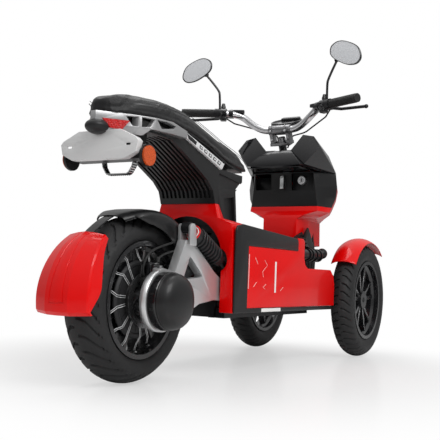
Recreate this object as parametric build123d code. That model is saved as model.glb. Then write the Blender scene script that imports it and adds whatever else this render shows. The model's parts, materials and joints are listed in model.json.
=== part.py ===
from build123d import *
import os
from math import cos, radians, sin, sqrt

# Leaning three-wheel electric scooter, millimetres.
# +X is forward, +Y is left, +Z is up; the wheels stand on Z = 0.

# ---- driving dimensions ----
wheelbase = 1290.0
front_track = 470.0
tail_reach = 307.0            # rear axle to the rear fender's tip

rear_tyre_radius = 236.0
rear_tyre_width = 126.0
rear_bead_radius = 160.0
rear_rim_half = 47.0
front_tyre_radius = 233.5
front_tyre_width = 92.0
front_bead_radius = 154.5
front_rim_half = 34.0

sill_height = 198.0           # underside of the side panels
deck_height = 452.0           # top of the foot deck
deck_thickness = 12.0
skin = 4.0                    # wall of the body panels

handlebar_half = 372.0        # centre to grip end
column_rake = 25.0            # degrees from upright
kingpin_rake = 12.0
kingpin_offset = 188.0        # kingpin from the centre plane

# ---- stations ----
overall_length = tail_reach + wheelbase + front_tyre_radius
rear_x = -overall_length / 2 + tail_reach
front_x = rear_x + wheelbase
half_track = front_track / 2

os.makedirs("parts", exist_ok=True)
nodes = {}


def along_y(points, y0, y1, round_radius=0.0):
    """A solid with an XZ outline that runs from y0 to y1."""
    low = min(y0, y1)
    face = make_face(Polyline(*[(x, low, z) for x, z in points], close=True))
    solid = extrude(face, amount=abs(y1 - y0), dir=(0, 1, 0))
    if round_radius > 0:
        solid = fillet(solid.edges().filter_by(Axis.Y), round_radius)
    return solid


def along_z(points, z0, z1, round_radius=0.0):
    """A solid with an XY outline that runs from z0 to z1."""
    face = make_face(Polyline(*[(x, y, z0) for x, y in points], close=True))
    solid = extrude(face, amount=z1 - z0, dir=(0, 0, 1))
    if round_radius > 0:
        solid = fillet(solid.edges().filter_by(Axis.Z), round_radius)
    return solid


def along_x(points, x0, x1, round_radius=0.0):
    """A solid with a YZ outline that runs from x0 to x1."""
    face = make_face(Polyline(*[(x0, y, z) for y, z in points], close=True))
    solid = extrude(face, amount=x1 - x0, dir=(1, 0, 0))
    if round_radius > 0:
        solid = fillet(solid.edges().filter_by(Axis.X), round_radius)
    return solid


def block(x0, x1, y0, y1, z0, z1):
    return Pos((x0 + x1) / 2, (y0 + y1) / 2, (z0 + z1) / 2) * Box(x1 - x0, y1 - y0, z1 - z0)


def rod(start, end, radius):
    """A round bar between two points."""
    a = Vector(*start)
    b = Vector(*end)
    return extrude(Plane(origin=a, z_dir=b - a) * Circle(radius), amount=(b - a).length)


def pipe(points, radius, bend):
    """A round bar along straight runs joined by bends."""
    path = FilletPolyline(*points, radius=bend)
    start = Plane(origin=path @ 0, z_dir=path % 0)
    return sweep(start * Circle(radius), path=path)


def disc_y(x, z, radius, y0, y1):
    """A round plate whose axis is parallel to Y."""
    return rod((x, min(y0, y1), z), (x, max(y0, y1), z), radius)


def mirror_left(solid):
    """The same piece on the other side of the centre plane."""
    return mirror(solid, about=Plane.XZ)


def pair(solid):
    return Compound(children=[*solid.solids(), *mirror_left(solid).solids()])


# ---- wheels ----
def tyre(radius, width, bead_radius, rim_half, flange):
    """A round-crowned tyre about the Y axis, at the origin."""
    shoulder = 0.80 * width / 2
    shoulder_radius = radius - 0.17 * width
    belly_radius = bead_radius + flange + 0.42 * (radius - bead_radius - flange)
    half = width / 2
    base = Line((0, -rim_half, bead_radius), (0, rim_half, bead_radius))
    right_bead = Line((0, rim_half, bead_radius), (0, rim_half, bead_radius + flange))
    right_wall = ThreePointArc((0, rim_half, bead_radius + flange), (0, half, belly_radius),
                               (0, shoulder, shoulder_radius))
    crown = ThreePointArc((0, shoulder, shoulder_radius), (0, 0, radius), (0, -shoulder, shoulder_radius))
    left_wall = ThreePointArc((0, -shoulder, shoulder_radius), (0, -half, belly_radius),
                              (0, -rim_half, bead_radius + flange))
    left_bead = Line((0, -rim_half, bead_radius + flange), (0, -rim_half, bead_radius))
    section = make_face([base, right_bead, right_wall, crown, left_wall, left_bead])
    return revolve(section, axis=Axis.Y, revolution_arc=360)


def turned(points):
    """A solid of revolution about Y from (y, radius) points."""
    section = make_face(Polyline(*[(0, y, r) for y, r in points], close=True))
    return revolve(section, axis=Axis.Y, revolution_arc=360)


def rim_barrel(bead_radius, rim_half, flange, wall):
    lip = 6.0
    well = 9.0
    outer = [(-rim_half - lip, bead_radius + flange - 1), (-rim_half, bead_radius + flange - 1),
             (-rim_half, bead_radius), (-rim_half + 12, bead_radius), (-rim_half + 20, bead_radius - well),
             (rim_half - 20, bead_radius - well), (rim_half - 12, bead_radius), (rim_half, bead_radius),
             (rim_half, bead_radius + flange - 1), (rim_half + lip, bead_radius + flange - 1)]
    inner = [(rim_half + lip, bead_radius - wall), (rim_half - 14, bead_radius - wall),
             (rim_half - 24, bead_radius - well - wall), (-rim_half + 24, bead_radius - well - wall),
             (-rim_half + 14, bead_radius - wall), (-rim_half - lip, bead_radius - wall)]
    return turned(outer + inner)


rim_flange = 7.0
rim_wall = 7.0
rear_bore = 12.0
shaft_gap = 0.05
hub_radius = 44.0
spoke_count_rear = 7
spoke_count_front = 5


def kinked_spoke(inner_r, kink_r, outer_r, width, kink, y0, y1):
    """One spoke in the XZ plane along +Z that bends sideways at kink_r."""
    half = width / 2
    points = [(-half, inner_r), (half, inner_r), (half + kink, kink_r), (half + kink, outer_r),
              (-half + kink, outer_r), (-half + kink, kink_r)]
    return along_y(points, y0, y1)


def spin_copies(solid, count, start=0.0):
    turned_set = []
    for i in range(count):
        turned_set.append(Rot(0, start + i * 360.0 / count, 0) * solid)
    return turned_set


def rear_wheel():
    barrel = rim_barrel(rear_bead_radius, rear_rim_half, rim_flange, rim_wall)
    reach = rear_bead_radius - rim_wall - 9.0 + 2.0
    dish = disc_y(0, 0, 108.0, -6, 6)
    hub = disc_y(0, 0, hub_radius, -40, 40)
    spoke = kinked_spoke(30.0, 118.0, reach, 13.0, 9.0, -20, 20)
    twin = kinked_spoke(30.0, 118.0, reach, 13.0, -9.0, -20, 20)
    wheel = barrel + dish + hub
    for piece in spin_copies(Rot(0, 7, 0) * spoke, spoke_count_rear):
        wheel += piece
    for piece in spin_copies(Rot(0, -7, 0) * twin, spoke_count_rear):
        wheel += piece
    return wheel - disc_y(0, 0, rear_bore + shaft_gap, -60, 60)


def front_wheel():
    barrel = rim_barrel(front_bead_radius, front_rim_half, rim_flange, rim_wall)
    reach = front_bead_radius - rim_wall - 9.0 + 2.0
    hub = disc_y(0, 0, 36.0, -24, 24)
    spoke = kinked_spoke(24.0, 100.0, reach, 15.0, 8.0, -14, 14)
    twin = kinked_spoke(24.0, 100.0, reach, 15.0, -8.0, -14, 14)
    wheel = barrel + hub
    for piece in spin_copies(Rot(0, 9, 0) * spoke, spoke_count_front):
        wheel += piece
    for piece in spin_copies(Rot(0, -9, 0) * twin, spoke_count_front):
        wheel += piece
    return wheel


# rear wheel, on the motor's output shaft
rear_centre = Pos(rear_x, 0, rear_tyre_radius)
nodes["rear_tyre"] = rear_centre * tyre(rear_tyre_radius, rear_tyre_width, rear_bead_radius,
                                        rear_rim_half, rim_flange)
nodes["rear_rim"] = rear_centre * rear_wheel()
disc_y0 = -66.0
disc_plate = disc_y(0, 0, 92.0, disc_y0 - 4.0, disc_y0) - disc_y(0, 0, 62.0, disc_y0 - 5, disc_y0 + 1)
disc_bell = disc_y(0, 0, 64.0, disc_y0 - 4.0, disc_y0)
disc_boss = disc_y(0, 0, 34.0, disc_y0, -40.0)
rear_disc = disc_plate + disc_bell + disc_boss
rear_disc -= disc_y(0, 0, rear_bore + shaft_gap, -80, 0)
nodes["rear_disc"] = rear_centre * rear_disc

# ---- rear drive and swing arm, on the right ----
motor_radius = 74.0
motor_inner = -84.0
motor_seam = -150.0
motor_outer = -190.0
arm_inner = -98.0
arm_outer = -126.0
pivot_x = rear_x + 300.0
pivot_z = 262.0
axle_z = rear_tyre_radius

motor_body = disc_y(rear_x, axle_z, motor_radius - 4, motor_inner, motor_seam)
motor_shaft = disc_y(rear_x, axle_z, rear_bore, motor_inner, 48.0)
nodes["motor_housing"] = motor_body + motor_shaft
cap = disc_y(rear_x, axle_z, motor_radius, motor_seam, motor_outer)
cap = fillet(cap.edges().filter_by(GeomType.CIRCLE).sort_by(Axis.Y)[0], 22.0)
nodes["motor_cap"] = cap

arm_outline = [(-30, 236 + 92), (44, 318), (92, 412), (128, 412), (262, 322), (326, 290), (326, 234),
               (262, 236), (180, 226), (60, 176), (-30, 160)]
arm_plate = along_y([(rear_x + x, z) for x, z in arm_outline], arm_outer, arm_inner, 8.0)
arm_hub = disc_y(rear_x, axle_z, motor_radius + 12, arm_outer - 14, arm_inner)
arm_window = along_y([(rear_x + x, z) for x, z in [(84, 296), (118, 366), (200, 306)]],
                     arm_outer - 5, arm_inner + 5, 6.0)
swing_arm = arm_plate + arm_hub - arm_window
swing_arm -= disc_y(rear_x, axle_z, motor_radius - 3.7, arm_outer - 20, arm_inner + 5)
arm_tube = disc_y(pivot_x, pivot_z, 26.0, arm_outer, 70.0)
swing_arm += arm_tube
nodes["swing_arm"] = swing_arm

# caliper over the disc, on a lug of the arm
caliper = block(rear_x - 30, rear_x + 30, -84, -52, axle_z + 62, axle_z + 108)
caliper -= block(rear_x - 40, rear_x + 40, disc_y0 - 9, disc_y0 + 5, axle_z + 40, axle_z + 98)
caliper_lug = block(rear_x - 22, rear_x + 22, arm_inner, -84, axle_z + motor_radius - 2, axle_z + 100)
nodes["rear_caliper"] = caliper + caliper_lug

# rear shock, from the arm's top forward and down into the body
shock_rear = (rear_x + 106, -120, 448)
shock_front = (rear_x + 346, -120, 335)
shock_way = (Vector(*shock_front) - Vector(*shock_rear)).normalized()


def on_shock(distance):
    return tuple(Vector(*shock_rear) + shock_way * distance)


shock = rod(shock_rear, on_shock(120), 12.0)
shock += rod(on_shock(34), on_shock(200), 26.0)
shock += rod(on_shock(190), shock_front, 13.0)
shock += disc_y(shock_rear[0], shock_rear[2], 17.0, -132, -108)
shock += disc_y(shock_front[0], shock_front[2], 17.0, -132, -108)
eye_cut = disc_y(shock_rear[0], shock_rear[2], 6.1, -150, -90)
eye_cut += disc_y(shock_front[0], shock_front[2], 6.1, -150, -90)
nodes["rear_shock"] = shock - eye_cut
ear_outline = [(rear_x + x, z) for x, z in [(92, 400), (128, 400), (122, 452), (112, 460), (98, 460),
                                            (90, 452)]]
arm_ears = along_y(ear_outline, -140, -134) + along_y(ear_outline, -106, -98)
arm_ears += along_y([(rear_x + x, z) for x, z in [(92, 396), (128, 396), (126, 412), (94, 412)]], -140, -98)
arm_ears += disc_y(shock_rear[0], shock_rear[2], 6.0, -140, -98)
nodes["swing_arm"] = nodes["swing_arm"] + arm_ears - rod(on_shock(30), on_shock(204), 26.5)

# ---- rear fenders ----
def arc_shell(centre_x, centre_z, inner, outer, start, end, y0, y1):
    """A curved sheet around a wheel; angles in degrees from +X towards +Z."""
    a = radians(start)
    b = radians(end)
    mid = (a + b) / 2
    points = []
    for radius, angle in ((inner, a), (inner, mid), (inner, b), (outer, b), (outer, mid), (outer, a)):
        points.append((centre_x + radius * cos(angle), y0, centre_z + radius * sin(angle)))
    lower = ThreePointArc(points[0], points[1], points[2])
    tip = Line(points[2], points[3])
    upper = ThreePointArc(points[3], points[4], points[5])
    root = Line(points[5], points[0])
    return extrude(make_face([lower, tip, upper, root]), amount=y1 - y0, dir=(0, 1, 0))


hugger_inner = rear_tyre_radius + 16.0
hugger_half = rear_tyre_width / 2 + 20.0
hugger = arc_shell(rear_x, axle_z, hugger_inner, hugger_inner + 4, 24, 122, -hugger_half, hugger_half)
flap_line = [(-130, 458), (-60, 462), (-10, 448), (55, 408), (98, 366), (106, 330), (118, 312), (150, 322),
             (190, 350), (240, 330), (260, 420), (120, 500), (-60, 500), (-140, 480)]
flap = along_y([(rear_x + x, z) for x, z in flap_line], -hugger_half - 3, -hugger_half)
flap = flap & disc_y(rear_x, axle_z, hugger_inner + 4, -hugger_half - 4, -hugger_half + 1)
hugger += flap
hugger += mirror_left(flap)
hugger += block(rear_x + 190, rear_x + 225, arm_inner, -hugger_half, 325, 352)
tongue = arc_shell(rear_x, axle_z, hugger_inner, hugger_inner + 4, 116, 150, -28, 28)
tongue += arc_shell(rear_x, axle_z, hugger_inner, hugger_inner + 34, 143, 150, -28, 28)

fender_half = 88.0
fender_start = 139.0
fender_end = 189.0
fender_stations = [(fender_start, 62, 269, 260, 245), (150, 74, 285, 271, 246), (163, 83, 297, 280, 238),
                   (177, fender_half, tail_reach - 3.9, 284, 228),
                   (fender_end, fender_half, tail_reach - 3.9, 284, 262)]


def fender_profile(angle, half, crease, shoulder, inner, wall):
    """The rear fender's section at this angle; wall 0 gives the solid, a larger one its core."""
    points = [(inner - 4 * wall, -half + wall), (shoulder - wall, -half + wall),
              (crease - wall, -half * 0.42),
              (crease + 3 - wall, 0), (crease - wall, half * 0.42), (shoulder - wall, half - wall),
              (inner - 4 * wall, half - wall)]
    a = radians(angle)
    placed = [(rear_x + radius * cos(a), y, axle_z + radius * sin(a)) for radius, y in points]
    return make_face(Polyline(*placed, close=True))


fender_solid = loft([fender_profile(angle, half, crease, shoulder, inner, 0)
                     for angle, half, crease, shoulder, inner in fender_stations])
fender_core = loft([fender_profile(angle, half, crease, shoulder, inner, 4)
                    for angle, half, crease, shoulder, inner in fender_stations])
rear_fender = fender_solid - fender_core
nodes["rear_fender"] = rear_fender
tongue = tongue - rear_fender
tongue = tongue.solids().sort_by(SortBy.VOLUME)[-1]
nodes["rear_hugger"] = hugger + tongue

# ---- frame ----
rail_y = 110.0
rail_half = 16.0
rail_z0 = 178.0
rail_z1 = 208.0
body_rear_x = rear_x + 290
body_front_x = rear_x + 440
deck_front_x = front_x - 290
shoulder_z = 538.0
linkage_x = front_x - 300
linkage_z = 262.0
rake = radians(column_rake)
column_dir = Vector(-sin(rake), 0, cos(rake))
clamp_point = Vector(front_x - 325, 0, 909)
frame = block(body_rear_x + 45, deck_front_x, rail_y - rail_half, rail_y + rail_half, rail_z0, rail_z1)
frame += mirror_left(frame)
for station in (body_rear_x + 60, rear_x + 640, deck_front_x - 30):
    frame += block(station, station + 30, -rail_y, rail_y, rail_z0, rail_z1)
upright_line = [(330, rail_z0), (368, rail_z0), (368, 470), (306, 528), (306, shoulder_z),
                (296, shoulder_z), (296, 505), (330, 465)]
upright = along_y([(rear_x + x, z) for x, z in upright_line], 70, 90)
frame += upright + mirror_left(upright)
frame += block(rear_x + 296, rear_x + 306, -90, 90, shoulder_z - 12, shoulder_z)
frame += block(rear_x + 334, rear_x + 366, -104, -90, 322, 348)
frame += disc_y(shock_front[0], shock_front[2], 6, -134, -95)
pivot_lug = block(pivot_x - 30, body_rear_x + 75, 48, 60, pivot_z - 30, pivot_z + 30)
pivot_lug += block(pivot_x - 30, body_rear_x + 75, -92, -80, pivot_z - 30, pivot_z + 30)
pivot_lug -= disc_y(pivot_x, pivot_z, 26.05, -95, 75)
frame += pivot_lug
frame += block(body_rear_x + 55, body_rear_x + 75, -92, 92, rail_z1 - 5, pivot_z + 30)
head_low = clamp_point - column_dir * 480
head_high = clamp_point - column_dir * 250
head_tube = rod(tuple(head_low), tuple(head_high), 27.0) - rod(tuple(head_low - column_dir * 5),
                                                               tuple(head_high + column_dir * 5), 16.05)
spine = block(linkage_x - 90, linkage_x + 8, -45, 45, rail_z0, 440)
spine += block(linkage_x - 10, front_x - 105, -30, 30, 400, 440)
spine += block(front_x - 190, front_x - 105, -28, 28, 430, 510)
spine -= rod(tuple(head_low - column_dir * 60), tuple(head_high + column_dir * 5), 16.05)
frame += spine + head_tube
nodes["main_frame"] = frame

nodes["battery_box"] = block(body_front_x + 5, linkage_x - 195, -150, 150, rail_z1,
                             deck_height - deck_thickness)

# ---- side panels: outer face flares towards the front ----
side_rear_x = rear_x + 293
side_front_x = front_x - 250
side_rear_y = 180.0
side_front_y = 222.0


def side_y(x):
    """Half width of the floor section at station x."""
    share = (x - side_rear_x) / (side_front_x - side_rear_x)
    return side_rear_y + (side_front_y - side_rear_y) * share


def side_wall(outward, thickness, front_return):
    """The left side wall seen from above, extruded over the floor section's full height."""
    a = (side_rear_x, side_y(side_rear_x) + outward)
    b = (side_front_x, side_y(side_front_x) + outward)
    points = [a, b, (side_front_x, front_return), (side_front_x - thickness, front_return),
              (side_front_x - thickness, b[1] - thickness), (side_rear_x, a[1] - thickness)]
    return along_z(points, sill_height - 10, deck_height + 40)


column_x = rear_x + 372
step_x = front_x - 572
panel_top = 410.0
trim_top = 456.0
box_top = 350.0
sill_top = 212.0
opening_x = front_x - 518
panel_outline = [(column_x, sill_top), (side_front_x - 8, sill_top), (side_front_x, sill_top),
                 (side_front_x, 296), (side_front_x - 10, 328), (side_front_x - 38, box_top),
                 (opening_x + 30, box_top), (opening_x + 8, box_top + 14), (opening_x, box_top + 38),
                 (opening_x, trim_top - 10), (opening_x - 10, trim_top), (step_x, trim_top),
                 (step_x, panel_top), (column_x, panel_top)]
trim_outline = [(side_rear_x, sill_height), (side_front_x - 20, sill_height), (side_front_x - 20, sill_top),
                (column_x, sill_top), (column_x, panel_top), (step_x, panel_top), (step_x, trim_top - 10),
                (step_x - 10, trim_top - 2), (side_rear_x + 40, trim_top + 21),
                (side_rear_x + 8, trim_top + 14), (side_rear_x, trim_top)]
left_panel = side_wall(0, skin, 90.0) & along_y(panel_outline, 60, 300)
nodes["side_panels"] = pair(left_panel)
left_trim = side_wall(3.0, skin + 3.0, 210.0) & along_y(trim_outline, 60, 300)
nodes["side_trims"] = pair(left_trim)

deck_points = [(body_front_x, side_y(body_front_x) - skin - 0.2), (step_x, side_y(step_x) - skin - 0.2),
               (opening_x, side_y(opening_x) - skin - 0.2), (opening_x, 95), (deck_front_x - 105, 95)]
deck_points += [(x, -y) for x, y in reversed(deck_points)]
nodes["floor_deck"] = along_z(deck_points, deck_height - deck_thickness, deck_height)


# ---- faceted shells ----
def inset(points, distance):
    """The same polygon with every edge moved inwards (points run anticlockwise)."""
    count = len(points)
    moved = []
    for i in range(count):
        ax, ay = points[i - 1]
        bx, by = points[i]
        cx, cy = points[(i + 1) % count]
        ux, uy = bx - ax, by - ay
        vx, vy = cx - bx, cy - by
        lu = sqrt(ux * ux + uy * uy)
        lv = sqrt(vx * vx + vy * vy)
        nu = (-uy / lu, ux / lu)
        nv = (-vy / lv, vx / lv)
        scale = distance / (1 + nu[0] * nv[0] + nu[1] * nv[1])
        moved.append((bx + (nu[0] + nv[0]) * scale, by + (nu[1] + nv[1]) * scale))
    return moved


def ring(half):
    """A closed symmetric outline, anticlockwise, from the right half's points (rear to front)."""
    right = [(x, -y) for x, y in half]
    left = [(x, y) for x, y in reversed(half)]
    return right + left


def facets(sections, wall=0.0):
    """A straight-sided loft through (height, half outline) sections."""
    faces = []
    for z, half in sections:
        outline = ring(half)
        if wall > 0:
            outline = inset(outline, wall)
        faces.append(make_face(Polyline(*[(x, y, z) for x, y in outline], close=True)))
    return loft(faces, ruled=True)


def from_front(points):
    return [(front_x + x, y) for x, y in points]


def from_rear(points):
    return [(rear_x + x, y) for x, y in points]


# rear body with the wheel arch
body_sections = [(sill_height, from_rear([(290, 175.8), (438, 175.8)])),
                 (452.0, from_rear([(290, 169), (438, 169)])),
                 (476.0, from_rear([(290, 163), (430, 163)])),
                 (494.0, from_rear([(290, 114), (392, 114)])),
                 (shoulder_z, from_rear([(290, 103), (312, 103)]))]
body_core = [(sill_height - 1, from_rear([(294, 171), (445, 171)])),
             (452.0, from_rear([(294, 165), (445, 165)])),
             (474.0, from_rear([(294, 158), (440, 158)])),
             (491.0, from_rear([(294, 109), (400, 109)])),
             (shoulder_z + 1, from_rear([(294, 99), (322, 99)]))]
arch_half = 132.0
arch = along_x([(-arch_half, sill_height - 5), (arch_half, sill_height - 5), (arch_half, 366),
                (-arch_half, 366)], rear_x + 280, rear_x + 300)
arch += rod((rear_x + 280, 0, 366), (rear_x + 300, 0, 366), arch_half)
nodes["rear_body"] = facets(body_sections) - facets(body_core) - arch - rod((rear_x + 225, -120, 391.5),
                                                                            (rear_x + 310, -120, 351.5), 33.0)

# ---- seat post ----
post_half = 103.0
post_rear = [(-98, 700), (34, 694), (104, 666), (176, 634), (236, 606), (272, 578), (288, shoulder_z)]
post_top = [(306, shoulder_z), (306, 650), (226, 690), (90, 714), (-98, 730)]
post = along_y([(rear_x + x, z) for x, z in post_rear + post_top], -post_half, post_half)
well_line = [(110, 740), (182, 662), (244, 630), (298, 592), (298, 546), (320, 546), (320, 740)]
post -= along_y([(rear_x + x, z) for x, z in well_line], -84, 84)
rib_count = 12
rib_pitch = 2 * (post_half - 8) / rib_count
groove = 9.0
groove_line = [(-20, 684), (32, 684), (98, 656), (170, 624), (230, 596), (264, 570), (279, 556),
               (288, 556), (278, 582), (240, 614), (180, 642), (108, 674), (38, 702), (-20, 706)]
for i in range(rib_count):
    y = -post_half + 8 + rib_pitch * (i + 0.5)
    post -= along_y([(rear_x + x, z) for x, z in groove_line], y - groove / 2, y + groove / 2)
nodes["seat_post_cover"] = post

# nose box on a leg, with a recess in each side
nose_reach = 486.0
leg_half = 91.0
front_outline = [(306, shoulder_z), (372, 470), (372, deck_height), (462, deck_height), (442, 594),
                 (474, 620),
                 (nose_reach, 630), (nose_reach, 652), (360, 654), (306, 650)]
post_front = along_y([(rear_x + x, z) for x, z in front_outline], -leg_half, leg_half)
leg_core = [(314, 560), (380, 560), (430, 606), (468, 630), (468, 700), (314, 700)]
post_front -= along_y([(rear_x + x, z) for x, z in leg_core], -78, 78)
leg_pocket = along_y([(rear_x + x, z) for x, z in [(378, 480), (448, 480), (432, 574), (366, 562)]],
                     -leg_half - 1, -leg_half + 12)
post_front -= leg_pocket + mirror_left(leg_pocket)
box_step = along_y([(rear_x + x, z) for x, z in [(330, 640), (500, 622), (500, 606), (330, 590)]],
                   -leg_half - 1, -leg_half + 6)
post_front -= box_step + mirror_left(box_step)
nodes["seat_post_front"] = post_front

# ---- tail ----
tail_plan = [(-199, 9), (-172, 30), (-142, 54), (-100, 84), (-60, 108), (0, 121), (74, 126)]
tail_top = 739.0
cover_plan = from_rear([(-98, 74), (-60, 94), (0, post_half), (320, post_half)])
nodes["seat_post_cover"] = nodes["seat_post_cover"] & along_z(ring(cover_plan), 500, 780)
tail_frame = along_z(ring(from_rear(tail_plan)), 705, tail_top)
tail_frame += facets([(686.0, from_rear([(-186, 18), (-172, 28), (-110, 72), (-84, 80)])),
                      (705.5, from_rear([(-199, 9), (-172, 30), (-100, 84), (-70, 100)]))])
tail_frame -= along_z(ring(cover_plan), 600, 800)
tail_frame -= along_z(ring(from_rear([(-160, 14), (-90, 70), (-80, 70)])), 712, 800)
tail_frame -= along_y([(rear_x + x, z) for x, z in [(-10, 742), (80, 724), (80, 780), (-10, 780)]], -150, 150)
rear_window = along_y([(rear_x + x, z) for x, z in [(-118, 708), (-134, 733), (-104, 735), (-104, 708)]],
                      -150, -40)
mid_window = along_y([(rear_x + x, z) for x, z in [(-96, 708), (-96, 735), (-62, 734), (-74, 711)]], -150,
                     -60)
front_window = along_y([(rear_x + x, z) for x, z in [(-56, 734), (-20, 735), (20, 729), (8, 720),
                                                     (-38, 712)]], -150, -96)
windows = rear_window + mid_window + front_window
tail_frame -= windows + mirror_left(windows)
lens_band = along_z(ring(from_rear([(x - 1, y + 2) for x, y in tail_plan])), 693, 721)
lens_band -= along_z(ring(from_rear([(x + 5, y - 5) for x, y in tail_plan])), 690, 730)
lens = lens_band & along_y([(rear_x + x, z) for x, z in [(-186, 720), (-126, 720), (-143, 694),
                                                         (-168, 696)]], -150, 150)
lamp = Pos(rear_x - 178, 0, 699) * scale(Sphere(1), by=(36, 33, 21))
nodes["plate_lamp"] = lamp
nodes["tail_light"] = lens - lamp
nodes["tail_frame"] = tail_frame - lens - lamp
strip_line = [(74, 714), (80, 730), (96, 727), (324, 668), (308, 648), (90, 712)]
strip = along_y([(rear_x + x, z) for x, z in strip_line], leg_half, 112)
strip -= along_y([(rear_x + x, z) for x, z in strip_line[:1] + [(74, 740), (226, 692), (306, 650),
                                                                (306, 560), (100, 600)]], 0, post_half)
nodes["seat_strips"] = pair(strip)

plate_x = rear_x - 168
slot_z = 648.0
plate_line = [(-90, 611), (90, 611), (125, 628), (132, 656), (124, 665), (70, 690), (-70, 690), (-124, 665),
              (-132, 656), (-125, 628)]
plate = along_x(plate_line, plate_x - 3, plate_x)
plate_core = along_x([(y * 0.965, 650 + (z - 650) * 0.92) for y, z in plate_line], plate_x, plate_x + 30)
flange = along_x(plate_line, plate_x, plate_x + 18) - plate_core
plate += flange
for side in (-1, 1):
    slot_cut = Pos(plate_x, side * 100.0, slot_z) * Box(10, 10, 6)
    slot_cut += Pos(plate_x, side * 100.0 - 5, slot_z) * (Rot(0, 90, 0) * Cylinder(3, 10))
    slot_cut += Pos(plate_x, side * 100.0 + 5, slot_z) * (Rot(0, 90, 0) * Cylinder(3, 10))
    plate -= slot_cut
plate += block(plate_x, rear_x - 110, -50, 50, 680, 686)
nodes["plate_bracket"] = plate - lamp - nodes["tail_frame"]

# inner tail tray, reflector backs and the rear eye of the latch
tray_line = [(-128, 680), (-110, 640), (-92, 622), (-60, 622), (-34, 684), (-34, 700), (-92, 702),
             (-100, 686), (-110, 680)]
tray = along_y([(rear_x + x, z) for x, z in tray_line], -60, 60)
reflector_x = rear_x - 126
reflector_z = 622.0
tray += block(reflector_x - 6, rear_x - 80, -128, 128, reflector_z - 6, reflector_z + 6)
tray += disc_y(reflector_x, reflector_z, 31, 126, 134)
tray += disc_y(reflector_x, reflector_z, 31, -134, -126)
nodes["reflector_mounts"] = tray - tail_frame - nodes["plate_bracket"] - nodes["seat_post_cover"]
nodes["side_reflectors"] = pair(disc_y(reflector_x, reflector_z, 27, 134, 140))
bow = pipe([(rear_x - 74, -46, 624), (rear_x - 74, -36, 588), (rear_x - 74, 36, 588),
            (rear_x - 74, 46, 624)], 7.0, 14.0)
nodes["latch_bow"] = bow - tray

# ---- front bodywork ----
neck_half = 73.0
flange_z = 603.0
apron_sections = [(deck_height, from_front([(-300, neck_half), (-205, neck_half), (-35, 68), (6, 26)])),
                  (550.0, from_front([(-300, neck_half), (-205, 88), (-55, 74), (16, 30)])),
                  (566.0, from_front([(-292, 96), (-203, 138), (-80, 104), (24, 36)])),
                  (584.0, from_front([(-272, 150), (-190, 170), (-70, 124), (34, 42)])),
                  (flange_z, from_front([(-268, 149), (-190, 178), (-70, 134), (44, 46)]))]
shield_sections = [(flange_z, from_front([(-268, 148), (-190, 178), (-70, 134), (44, 46)])),
                   (642.0, from_front([(-270, 142), (-190, 195), (-60, 146), (56, 50)])),
                   (685.0, from_front([(-272, 137), (-190, 200), (-50, 150), (62, 52)])),
                   (742.0, from_front([(-278, 130), (-190, 193), (-60, 142), (48, 48)]))]
apron = facets(apron_sections) - facets(apron_sections, skin)
cover_line = [(-172, 352), (-98, 352), (-92, 400), (-127, 507), (-150, 455), (-250, 380), (-250, 352)]
linkage_cover = along_y([(front_x + x, z) for x, z in cover_line], 30, 74.5)
rib_outline = [(front_x + x, z) for x, z in cover_line]
for i in range(4):
    x = front_x - 236 + 34 * i
    linkage_cover -= block(x, x + 7, 68, 80, 340, 520)
apron -= along_y(rib_outline, -90, 90)
nodes["front_apron"] = apron
pleat_height = 438.0
pleat_points = [(-245, 73, 505), (-345, 73, 466), (-345, 138, pleat_height), (-250, 116, pleat_height),
                (-238, 73, pleat_height), (-345, 73, pleat_height)]
pleat = ConvexPolyhedron([(front_x + x, y, z) for x, y, z in pleat_points])
for i in range(3):
    pleat -= block(front_x - 360, front_x - 200, 84, 160, 449 + 15 * i, 454 + 15 * i)
linkage_cover += pleat - facets(apron_sections)
shield = facets(shield_sections) - facets(shield_sections, skin)
split_x = front_x - 170
rear_side = block(front_x - 500, split_x, -400, 400, 500, 900)
pocket_gap = block(front_x - 300, front_x - 255, -131, -35, 668, 738)
pocket_gap += block(front_x - 300, front_x - 255, 56, 128, 672, 738)
side_gap = along_y([(front_x - 262, 676), (front_x - 200, 738), (front_x - 262, 738)], 60, 220)
nodes["knee_shield"] = (shield & rear_side) - pocket_gap - side_gap
nodes["front_fascia"] = shield - rear_side
tray_right = block(front_x - 256, front_x - 250, -134, -32, 660, 742)
tray_right += block(front_x - 268, front_x - 250, -134, -32, 660, 667)
tray_left = block(front_x - 262, front_x - 110, 50, 126, 664, 669)
tray_left += block(front_x - 262, front_x - 110, 46, 50, 664, 742)
tray_left += block(front_x - 114, front_x - 110, 46, 126, 664, 742)
tray_right += block(front_x - 254, front_x - 250, -34, 50, 664, 669)
lining = block(split_x - 6, split_x - 2, 60, 300, 610, 738) & facets(shield_sections, skin + 0.2)
lining += mirror_left(lining)
shield_shell = facets(shield_sections) - facets(shield_sections, skin)
nodes["glove_tray"] = (tray_right + tray_left + lining) - shield_shell

# dash: a hull from the lip, with a tall wing at each side
lip_z = 757.0
dash_low = [(-385, 0, 744), (-380, 118, lip_z), (-278, 128, 742), (-190, 192, 742), (-60, 141, 742),
            (48, 47, 742)]
dash_high = [(-338, 54, 823), (-240, 60, 828), (-150, 60, 800), (-10, 44, 772)]


def hull(points):
    """A convex piece from (x from the front axle, half y, z) corners on both sides of the centre plane."""
    corners = []
    for x, y, z in points:
        corners.append((front_x + x, y, z))
        if y > 0:
            corners.append((front_x + x, -y, z))
    return ConvexPolyhedron(corners)


def wing(points):
    """A convex piece on the left from (x from the front axle, y, z) corners."""
    return ConvexPolyhedron([(front_x + x, y, z) for x, y, z in points])


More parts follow.
